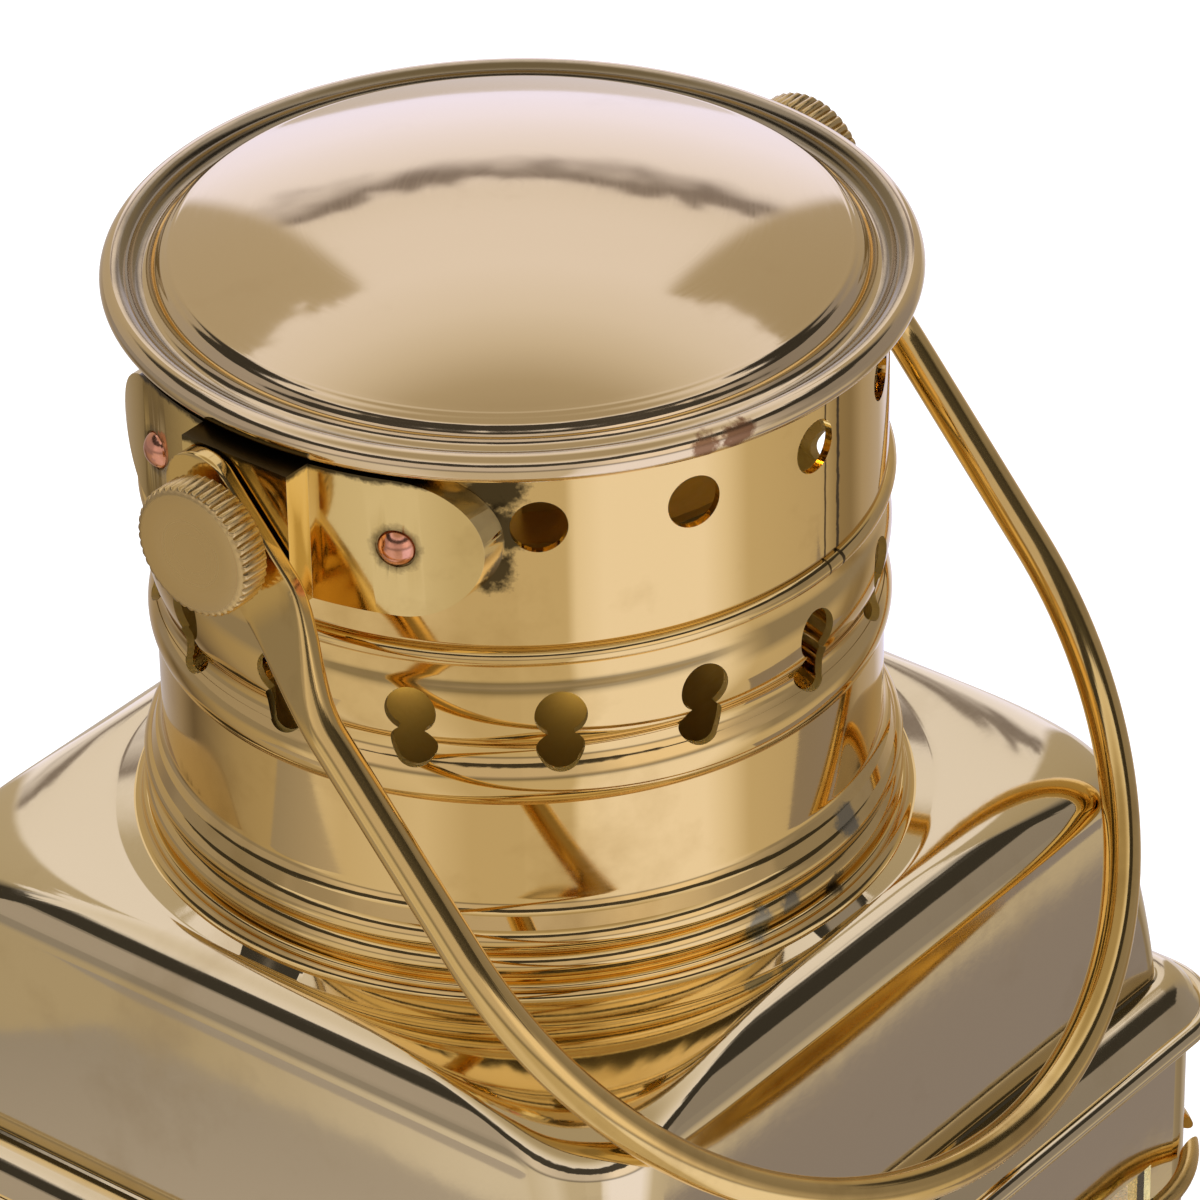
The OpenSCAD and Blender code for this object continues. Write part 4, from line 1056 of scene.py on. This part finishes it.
        bm = loft(self.knurls * 8, [ring(*r) for r in rings])
        bmesh.ops.holes_fill(bm, edges=[e for e in bm.edges if len(e.link_faces) == 1], sides=0)
        spin = Matrix.Rotation(0 if side > 0 else math.pi, 4, "Z")
        out = Matrix.Translation((self.knob_in * MM, 0, self.pivot_z * MM)) @ Matrix.Rotation(math.pi / 2, 4, "Y")
        bmesh.ops.transform(bm, matrix=spin @ out, verts=bm.verts)
        return settle(bm, name, self.palette.turned, 40)

    def build(self) -> None:
        """Builds and dresses the bail and its fittings."""
        seat(self.bail(), "bail", "drawn_brass", "bail")
        for side, word in ((-1, "left"), (1, "right")):
            seat(self.screw(f"screw_turned_{word}", side), f"screw_{word}", "turned_brass",
                 f"thumb_screw_{word}")


# Carried-over nodes


@dataclass
class Fittings:
    """Parts whose CAD shape is right, given a finish; some are also copied, merged and given soft edges."""

    palette: Palette
    soft: float = 0.2

    def ease(self, node: str, finish: bpy.types.Material, slot: str, edge: float | None = None) -> None:
        """Copies a CAD node, merges it and softens its edges.

        Args:
            node: The CAD node.
            finish: Its material.
            slot: The record's material slot; not used.
            edge: Width of the softened edges, in mm.
        """
        source = frame["nodes"][node]
        body = source["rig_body"]
        bm = bmesh.new()
        bm.from_mesh(source.data)
        bmesh.ops.remove_doubles(bm, verts=bm.verts, dist=2e-6)
        bmesh.ops.dissolve_limit(bm, angle_limit=math.radians(0.5), verts=bm.verts, edges=bm.edges)
        piece = settle(bm, f"{node}_eased", finish, 30, recalc=False)
        width = self.soft if edge is None else edge
        if width:
            bevel = piece.modifiers.new("soft_edge", "BEVEL")
            bevel.width, bevel.segments, bevel.limit_method = width * MM, 2, "ANGLE"
            bevel.angle_limit, bevel.use_clamp_overlap = math.radians(40), True
            bevel.harden_normals = True
        seat(piece, body, slot, node)

    def paint(self, finish: bpy.types.Material, slot: str, *nodes: str) -> None:
        """Gives CAD nodes a finish and leaves their shape."""
        for node in nodes:
            shown = frame["nodes"][node]
            shown.data.materials.clear()
            shown.data.materials.append(finish)

    def build(self) -> None:
        """Dresses every carried-over node."""
        p = self.palette
        for side in ("left", "right"):
            self.ease(f"bail_bracket_{side}", p.strap, "cast_brass", 0.5)
            self.ease(f"screw_washer_{side}", p.turned, "turned_brass", 0.15)
        self.ease("bracket_rivets", p.copper, "copper_rivet", 0)
        self.paint(p.glass, "clear_glass", "window_glass_front", "window_glass_left", "window_glass_right",
                   "door_glass", "lamp_glass")
        self.paint(p.wick, "cotton_wick", "wick")
        self.paint(p.sheet, "polished_brass", "body_frame", "base_skirt", "font_pan", "font_dome", "door_frame")
        self.paint(p.inside, "satin_brass", "draught_tube", "wind_baffle")
        self.paint(p.satin, "satin_brass", "base_floor", "glass_bead_front", "glass_bead_left",
                   "glass_bead_right", "door_bead", "font_ring",
                   "burner_chamber", "burner_gallery", "burner_cone", "wick_tube", "hinge_leaf_body",
                   "hinge_leaf_door", "latch_hook", "latch_stud", "latch_screw", "font_neck", "filler_cap",
                   "wick_spindle", "wick_knob", "hinge_pins")
        self.paint(p.satin, "drawn_brass", "guard_rods_front", "guard_rods_left", "guard_rods_right",
                   "door_guard_rods")


# Studio


@dataclass
class Studio:
    """Floor, cards, lamps and camera."""

    eye: tuple[float, float, float] = (-591.1, -486.3, 718.7)
    lens: float = 217.98
    dip: float = 32.336
    roll: float = -1.012
    # Where the lens points, from +X, in degrees; bearings below are from there, left positive
    bearing: float = 38.7
    # Brightness of the upright boards by bearing
    boards: tuple[Point, ...] = ((-165, 0.62), (-150, 0.95), (-128, 0.95), (-112, 0.5), (-92, 0.27),
                                 (-50, 0.31), (-34, 0.42), (-17, 0.46), (17, 0.5), (40, 0.47), (75, 0.38),
                                 (112, 0.42), (130, 0.72), (160, 0.6))
    # Brightness of the floor's papers by bearing
    papers: tuple[Point, ...] = ((-166, 0.6), (-163, 0.86), (-155, 0.95), (-124, 0.95), (-116, 0.82),
                                 (-108, 0.6), (-77, 0.52), (-68, 0.3), (-60, 0.26), (-52, 0.42), (-36, 0.5),
                                 (-28, 0.74), (-13, 0.82), (10, 0.6), (48, 0.3), (58, 0.15), (82, 0.38),
                                 (98, 0.44), (107, 0.46), (115, 0.7), (124, 0.64), (150, 0.72), (164, 0.58))

    @staticmethod
    def tone(level: float) -> tuple[float, float, float]:
        """Colour of a studio board: dark boards take warm light back from the brass, white ones are cool."""
        return (level, level * (0.75 + 0.28 * level), level * (0.6 + level * level))

    @staticmethod
    def share(degrees: float) -> float:
        """Place of a bearing on a ramp that runs once round, from straight ahead of the lens."""
        return (degrees + 180) / 360

    @staticmethod
    def up(degrees: float) -> float:
        """Place of a height on a ramp that runs from straight down to straight up."""
        return (degrees + 90) / 180

    def air(self) -> None:
        """White surroundings for the camera and a studio of white and grey boards for the metal."""
        world = bpy.data.worlds.new("studio_air")
        bpy.context.scene.world = world
        world.use_nodes = True
        tree = world.node_tree
        tree.nodes.clear()
        path = add(tree, "ShaderNodeLightPath")
        way = add(tree, "ShaderNodeTexCoord").outputs["Generated"]
        turned = add(tree, "ShaderNodeVectorRotate", {"Vector": way, "Angle": -math.radians(self.bearing)},
                     rotation_type="Z_AXIS")
        split = add(tree, "ShaderNodeSeparateXYZ", {0: turned.outputs[0]})
        bearing = add(tree, "ShaderNodeMath", {0: split.outputs["Y"], 1: split.outputs["X"]},
                      operation="ARCTAN2")
        round_it = add(tree, "ShaderNodeMapRange", {"Value": bearing.outputs[0], "From Min": -math.pi,
                                                    "From Max": math.pi})
        height = add(tree, "ShaderNodeMath", {0: split.outputs["Z"]}, operation="ARCSINE")
        # Small unevenness of the boards' edges
        ragged = add(tree, "ShaderNodeTexNoise", {"Vector": turned.outputs[0], "Scale": 11.0, "Detail": 5.0,
                                                  "Roughness": 0.6})
        shift = add(tree, "ShaderNodeMath", {0: ragged.outputs[0], 1: math.radians(12), 2: math.radians(-6)},
                    operation="MULTIPLY_ADD")
        level = add(tree, "ShaderNodeMath", {0: height.outputs[0], 1: shift.outputs[0]}, operation="ADD")
        tilt = add(tree, "ShaderNodeMapRange", {"Value": height.outputs[0], "From Min": -math.pi / 2,
                                                "From Max": math.pi / 2})
        rough_tilt = add(tree, "ShaderNodeMapRange", {"Value": level.outputs[0], "From Min": -math.pi / 2,
                                                      "From Max": math.pi / 2})
        up = self.up
        # Sky: white wall at the horizon, a diffuser above it that falls off overhead
        sky = add(tree, "ShaderNodeValToRGB", {0: tilt.outputs[0]},
                  stops=[(up(d), self.tone(v)) for d, v in
                         ((-2, 1.0), (8, 1.0), (15, 0.95), (22, 0.9), (30, 0.82), (36, 0.85), (46, 0.86),
                          (54, 0.79), (60, 0.67), (66, 0.48), (71, 0.42), (85, 0.42))])
        # Gap between the wall and the diffuser
        gap = add(tree, "ShaderNodeValToRGB", {0: rough_tilt.outputs[0]},
                  stops=[(up(20.5), (0, 0, 0)), (up(24), (0.5, 0.5, 0.5)), (up(25.8), (0.86, 0.86, 0.86)),
                         (up(27.2), (0.9, 0.9, 0.9)), (up(28.3), (0, 0, 0))])
        behind = add(tree, "ShaderNodeValToRGB", {0: round_it.outputs[0]},
                     stops=[(self.share(-17.4), (0, 0, 0)), (self.share(-17), (1, 1, 1)),
                            (self.share(17), (1, 1, 1)), (self.share(17.4), (0, 0, 0))])
        gap_here = add(tree, "ShaderNodeMath", {0: gap.outputs[0], 1: behind.outputs[0]}, operation="MULTIPLY")
        parted = add(tree, "ShaderNodeMix", {0: gap_here.outputs[0], 6: sky.outputs[0], 7: (0.15, 0.12, 0.14, 1)},
                     data_type="RGBA")
        # Boards on both sides and the room behind the camera
        boards = add(tree, "ShaderNodeValToRGB", {0: round_it.outputs[0]},
                     stops=[(self.share(d), self.tone(v) if abs(d) < 45 else (v, v * 0.93, v * 1.12))
                            for d, v in self.boards])
        below = add(tree, "ShaderNodeMath", {0: level.outputs[0], 1: math.radians(46)}, operation="LESS_THAN")
        aside = add(tree, "ShaderNodeMath", {0: 1.0, 1: behind.outputs[0]}, operation="SUBTRACT")
        board_here = add(tree, "ShaderNodeMath", {0: below.outputs[0], 1: aside.outputs[0]},
                         operation="MULTIPLY")
        clad = add(tree, "ShaderNodeMix", {0: board_here.outputs[0], 6: parted.outputs[2], 7: boards.outputs[0]},
                   data_type="RGBA")
        # Dark slots along the boards' top edge and at the floor's far edge, away from the white wall
        slots = add(tree, "ShaderNodeValToRGB", {0: rough_tilt.outputs[0]},
                    stops=[(up(29), (0, 0, 0)), (up(31), (0.96, 0.96, 0.96)),
                           (up(48), (0.96, 0.96, 0.96)), (up(50), (0, 0, 0))])
        far_side = add(tree, "ShaderNodeValToRGB", {0: round_it.outputs[0]},
                       stops=[(self.share(-50), (1, 1, 1)), (self.share(-38), (0, 0, 0)),
                              (self.share(38), (0, 0, 0)), (self.share(50), (1, 1, 1))])
        slot_here = add(tree, "ShaderNodeMath", {0: slots.outputs[0], 1: far_side.outputs[0]},
                        operation="MULTIPLY")
        slotted = add(tree, "ShaderNodeMix", {0: slot_here.outputs[0], 6: clad.outputs[2],
                                              7: (0.03, 0.028, 0.03, 1)}, data_type="RGBA")
        # Dim far edge of the room behind the camera
        dusk = add(tree, "ShaderNodeValToRGB", {0: tilt.outputs[0]},
                   stops=[(up(-14), (0.5, 0.5, 0.5)), (up(-1), (0.62, 0.62, 0.62)), (up(7), (0, 0, 0))])
        rear = add(tree, "ShaderNodeMath", {0: bearing.outputs[0]}, operation="ABSOLUTE")
        rear_here = add(tree, "ShaderNodeMapRange", {"Value": rear.outputs[0], "From Min": math.radians(105),
                                                     "From Max": math.radians(125)})
        dusk_here = add(tree, "ShaderNodeMath", {0: dusk.outputs[0], 1: rear_here.outputs[0]},
                        operation="MULTIPLY")
        room = add(tree, "ShaderNodeMix", {0: dusk_here.outputs[0], 6: slotted.outputs[2],
                                           7: (0.05, 0.045, 0.04, 1)}, data_type="RGBA")
        plain = add(tree, "ShaderNodeBackground", {"Color": (0.93, 0.95, 1.0, 1.0), "Strength": 0.6})
        studio = add(tree, "ShaderNodeBackground", {"Color": room.outputs[2], "Strength": 1.0})
        white = add(tree, "ShaderNodeBackground", {"Color": (1.0, 1.0, 1.0, 1.0), "Strength": 1.0})
        shiny = add(tree, "ShaderNodeMixShader", {0: path.outputs["Is Glossy Ray"], 1: plain.outputs[0],
                                                  2: studio.outputs[0]})
        open_view = add(tree, "ShaderNodeMath", {0: path.outputs["Is Camera Ray"],
                                                 1: path.outputs["Is Transmission Ray"]}, operation="MAXIMUM")
        both = add(tree, "ShaderNodeMixShader", {0: open_view.outputs[0], 1: shiny.outputs[0],
                                                 2: white.outputs[0]})
        add(tree, "ShaderNodeOutputWorld", {0: both.outputs[0]})

    def floor(self) -> None:
        """A wide pale floor that keeps the lantern's shadow; the metal sees its papers and boards."""
        bm = bmesh.new()
        bmesh.ops.create_grid(bm, x_segments=1, y_segments=1, size=6.0)
        material, tree, out = blank_material("pale_floor_paper")
        path = add(tree, "ShaderNodeLightPath")
        place = add(tree, "ShaderNodeTexCoord").outputs["Object"]
        turned = add(tree, "ShaderNodeVectorRotate", {"Vector": place, "Angle": -math.radians(self.bearing)},
                     rotation_type="Z_AXIS")
        split = add(tree, "ShaderNodeSeparateXYZ", {0: turned.outputs[0]})
        bearing = add(tree, "ShaderNodeMath", {0: split.outputs["Y"], 1: split.outputs["X"]},
                      operation="ARCTAN2")
        round_it = add(tree, "ShaderNodeMapRange", {"Value": bearing.outputs[0], "From Min": -math.pi,
                                                    "From Max": math.pi})
        papers = add(tree, "ShaderNodeValToRGB", {0: round_it.outputs[0]},
                     stops=[(self.share(d), self.tone(v)) for d, v in self.papers])
        far = add(tree, "ShaderNodeVectorMath", {0: place}, operation="LENGTH")
        edge = add(tree, "ShaderNodeMapRange", {"Value": far.outputs["Value"], "From Min": 1.1,
                                                "From Max": 3.0, "To Max": 0.6})
        sides = add(tree, "ShaderNodeMath", {0: bearing.outputs[0]}, operation="ABSOLUTE")
        away = add(tree, "ShaderNodeMapRange", {"Value": sides.outputs[0], "From Min": math.radians(105),
                                                "From Max": math.radians(125)})
        dim = add(tree, "ShaderNodeMath", {0: edge.outputs[0], 1: away.outputs[0]}, operation="MULTIPLY")
        dimmed = add(tree, "ShaderNodeMix", {0: dim.outputs[0], 6: papers.outputs[0],
                                             7: (0.05, 0.045, 0.045, 1)}, data_type="RGBA")
        # Towards the upright boards at both sides the floor takes their grey
        beside = add(tree, "ShaderNodeMapRange", {"Value": far.outputs["Value"], "From Min": 0.55,
                                                  "From Max": 0.9})
        aside = add(tree, "ShaderNodeValToRGB", {0: round_it.outputs[0]},
                    stops=[(self.share(d), (v, v, v)) for d, v in
                           ((-118, 0), (-104, 1), (-50, 1), (-42, 0), (42, 0), (50, 1), (114, 1), (126, 0))])
        grey = add(tree, "ShaderNodeMath", {0: beside.outputs[0], 1: aside.outputs[0]}, operation="MULTIPLY")
        seen = add(tree, "ShaderNodeMix", {0: grey.outputs[0], 6: dimmed.outputs[2], 7: (0.3, 0.28, 0.33, 1)},
                   data_type="RGBA")
        matt = add(tree, "ShaderNodeBsdfDiffuse", {"Color": (0.8, 0.8, 0.8, 1)})
        glow = add(tree, "ShaderNodeEmission", {"Color": (1, 1, 1, 1), "Strength": 0.7})
        lit = add(tree, "ShaderNodeAddShader", {0: glow.outputs[0], 1: matt.outputs[0]})
        mirrored = add(tree, "ShaderNodeEmission", {"Color": seen.outputs[2], "Strength": 1.0})
        open_view = add(tree, "ShaderNodeMath", {0: path.outputs["Is Camera Ray"],
                                                 1: path.outputs["Is Transmission Ray"]}, operation="MAXIMUM")
        for_eye = add(tree, "ShaderNodeMixShader", {0: open_view.outputs[0], 1: matt.outputs[0],
                                                    2: lit.outputs[0]})
        # A ray that has passed through a pane counts as glossy too, and sees the plain floor
        in_metal = add(tree, "ShaderNodeMath", {0: path.outputs["Is Glossy Ray"],
                                                1: path.outputs["Is Transmission Ray"]},
                       operation="SUBTRACT", use_clamp=True)
        both = add(tree, "ShaderNodeMixShader", {0: in_metal.outputs[0], 1: for_eye.outputs[0],
                                                 2: mirrored.outputs[0]})
        tree.links.new(both.outputs[0], out.inputs[0])
        ground = settle(bm, "pale_floor", material)
        ground.location.z = -0.0002

    def card(self, name: str, corners: Sequence[tuple[float, float, float]], near: Sequence[float],
             far: Sequence[float]) -> None:
        """Lays a board that only the metal shows.

        Args:
            name: Its name.
            corners: Its corners in order, in metres.
            near: Its colour at the first two corners.
            far: Its colour at the last two corners.
        """
        bm = bmesh.new()
        layer = bm.loops.layers.uv.new("across")
        face = bm.faces.new([bm.verts.new(c) for c in corners])
        for i, loop in enumerate(face.loops):
            loop[layer].uv = (0.0 if i < 2 else 1.0, 0.0)
        material, tree, out = blank_material(f"{name}_paint")
        laid = add(tree, "ShaderNodeUVMap", uv_map="across")
        split = add(tree, "ShaderNodeSeparateXYZ", {0: laid.outputs[0]})
        colour = add(tree, "ShaderNodeMix", {0: split.outputs[0], 6: (*near, 1), 7: (*far, 1)}, data_type="RGBA")
        glow = add(tree, "ShaderNodeEmission", {"Color": colour.outputs[2], "Strength": 1.0})
        path = add(tree, "ShaderNodeLightPath")
        clear = add(tree, "ShaderNodeBsdfTransparent")
        seen = add(tree, "ShaderNodeMixShader", {0: path.outputs["Is Transmission Ray"], 1: glow.outputs[0],
                                                 2: clear.outputs[0]})
        tree.links.new(seen.outputs[0], out.inputs[0])
        board = settle(bm, name, material, recalc=False)
        board.visible_camera = board.visible_diffuse = board.visible_shadow = False
        board.visible_transmission = False

    def lamp(self, name: str, place: tuple[float, float, float], size: float, power: float) -> None:
        """Hangs a soft lamp that looks at the lantern's top.

        Args:
            name: Its name.
            place: Its place, in metres.
            size: Width of the lamp, in metres.
            power: Its power, in watts.
        """
        data = bpy.data.lights.new(name, "AREA")
        data.shape, data.size, data.energy = "DISK", size, power
        lamp = bpy.data.objects.new(name, data)
        lamp.location = place
        lamp.rotation_mode = "QUATERNION"
        lamp.visible_glossy = False
        lamp.rotation_quaternion = (Vector(place) - Vector((0, 0, 0.2))).to_track_quat("Z", "Y")
        bpy.context.scene.collection.objects.link(lamp)

    def camera(self) -> None:
        """Sets the camera at the photograph's viewing angle."""
        data = bpy.data.cameras.new("camera")
        data.sensor_fit, data.sensor_width, data.lens = "HORIZONTAL", 36.0, self.lens
        data.clip_start, data.clip_end = 0.05, 50.0
        camera = bpy.data.objects.new("camera", data)
        dip, roll = math.radians(self.dip), math.radians(self.roll)
        right = Vector((0.6253, -0.7804, 0.0)).normalized()
        near = Vector((-0.7804, -0.6253, 0.0)).normalized()
        up = -math.sin(dip) * near + math.cos(dip) * Vector((0, 0, 1))
        back = math.cos(dip) * near + math.sin(dip) * Vector((0, 0, 1))
        across = math.cos(roll) * right + math.sin(roll) * up
        above = math.cos(roll) * up - math.sin(roll) * right
        camera.rotation_mode = "QUATERNION"
        camera.rotation_quaternion = Matrix((across, above, back)).transposed().to_quaternion()
        camera.location = Vector(self.eye) * MM
        bpy.context.scene.collection.objects.link(camera)
        bpy.context.scene.camera = camera

    def build(self) -> None:
        """Sets up the whole studio."""
        self.air()
        self.floor()
        self.camera()
        self.lamp("soft_box_left", (-1.6, 0.6, 1.6), 1.0, 14.0)
        self.lamp("soft_box_right", (1.2, -1.4, 1.8), 1.0, 9.0)
        # Boards on the floor beside the lantern, which the roof's upright sides reflect
        self.card("low_board_right", ((0.12, -0.286, 0.002), (0.34, -0.286, 0.002), (0.34, -0.17, 0.002),
                                      (0.12, -0.17, 0.002)), (0.28, 0.26, 0.34), (0.28, 0.26, 0.34))
        self.card("low_board_left", ((-0.34, 0.1, 0.002), (-0.22, 0.1, 0.002), (-0.22, 0.25, 0.002),
                                     (-0.34, 0.25, 0.002)), (0.5, 0.47, 0.58), (0.34, 0.32, 0.39))
        # Daylight that enters the lantern through its windows and reaches the vents from within
        for i in range(8):
            turn = math.radians(45 * i + 10)
            self.glint(f"vent_light_{i}", (0.033 * math.cos(turn), 0.033 * math.sin(turn), 0.243), 0.006)
        self.glint("vent_light_top", (0, 0, 0.274), 0.11)

    def glint(self, name: str, place: tuple[float, float, float], power: float) -> None:
        """Puts a small warm light inside the chimney.

        Args:
            name: Its name.
            place: Its place, in metres.
            power: Its power, in watts.
        """
        data = bpy.data.lights.new(name, "POINT")
        data.energy, data.shadow_soft_size, data.color = power, 0.004, (1.0, 0.88, 0.62)
        lamp = bpy.data.objects.new(name, data)
        lamp.location = place
        lamp.visible_glossy = lamp.visible_camera = False
        bpy.context.scene.collection.objects.link(lamp)


def main() -> None:
    """Builds the lantern's pieces in order, then the studio."""
    logging.basicConfig(level=logging.INFO, format="%(message)s")
    bpy.context.scene.view_settings.view_transform = "Standard"
    palette = Palette.mix()
    for part in (Chimney(palette), Roof(palette), Carrier(palette), Fittings(palette), Studio()):
        part.build()


if __name__ == "__main__":
    main()
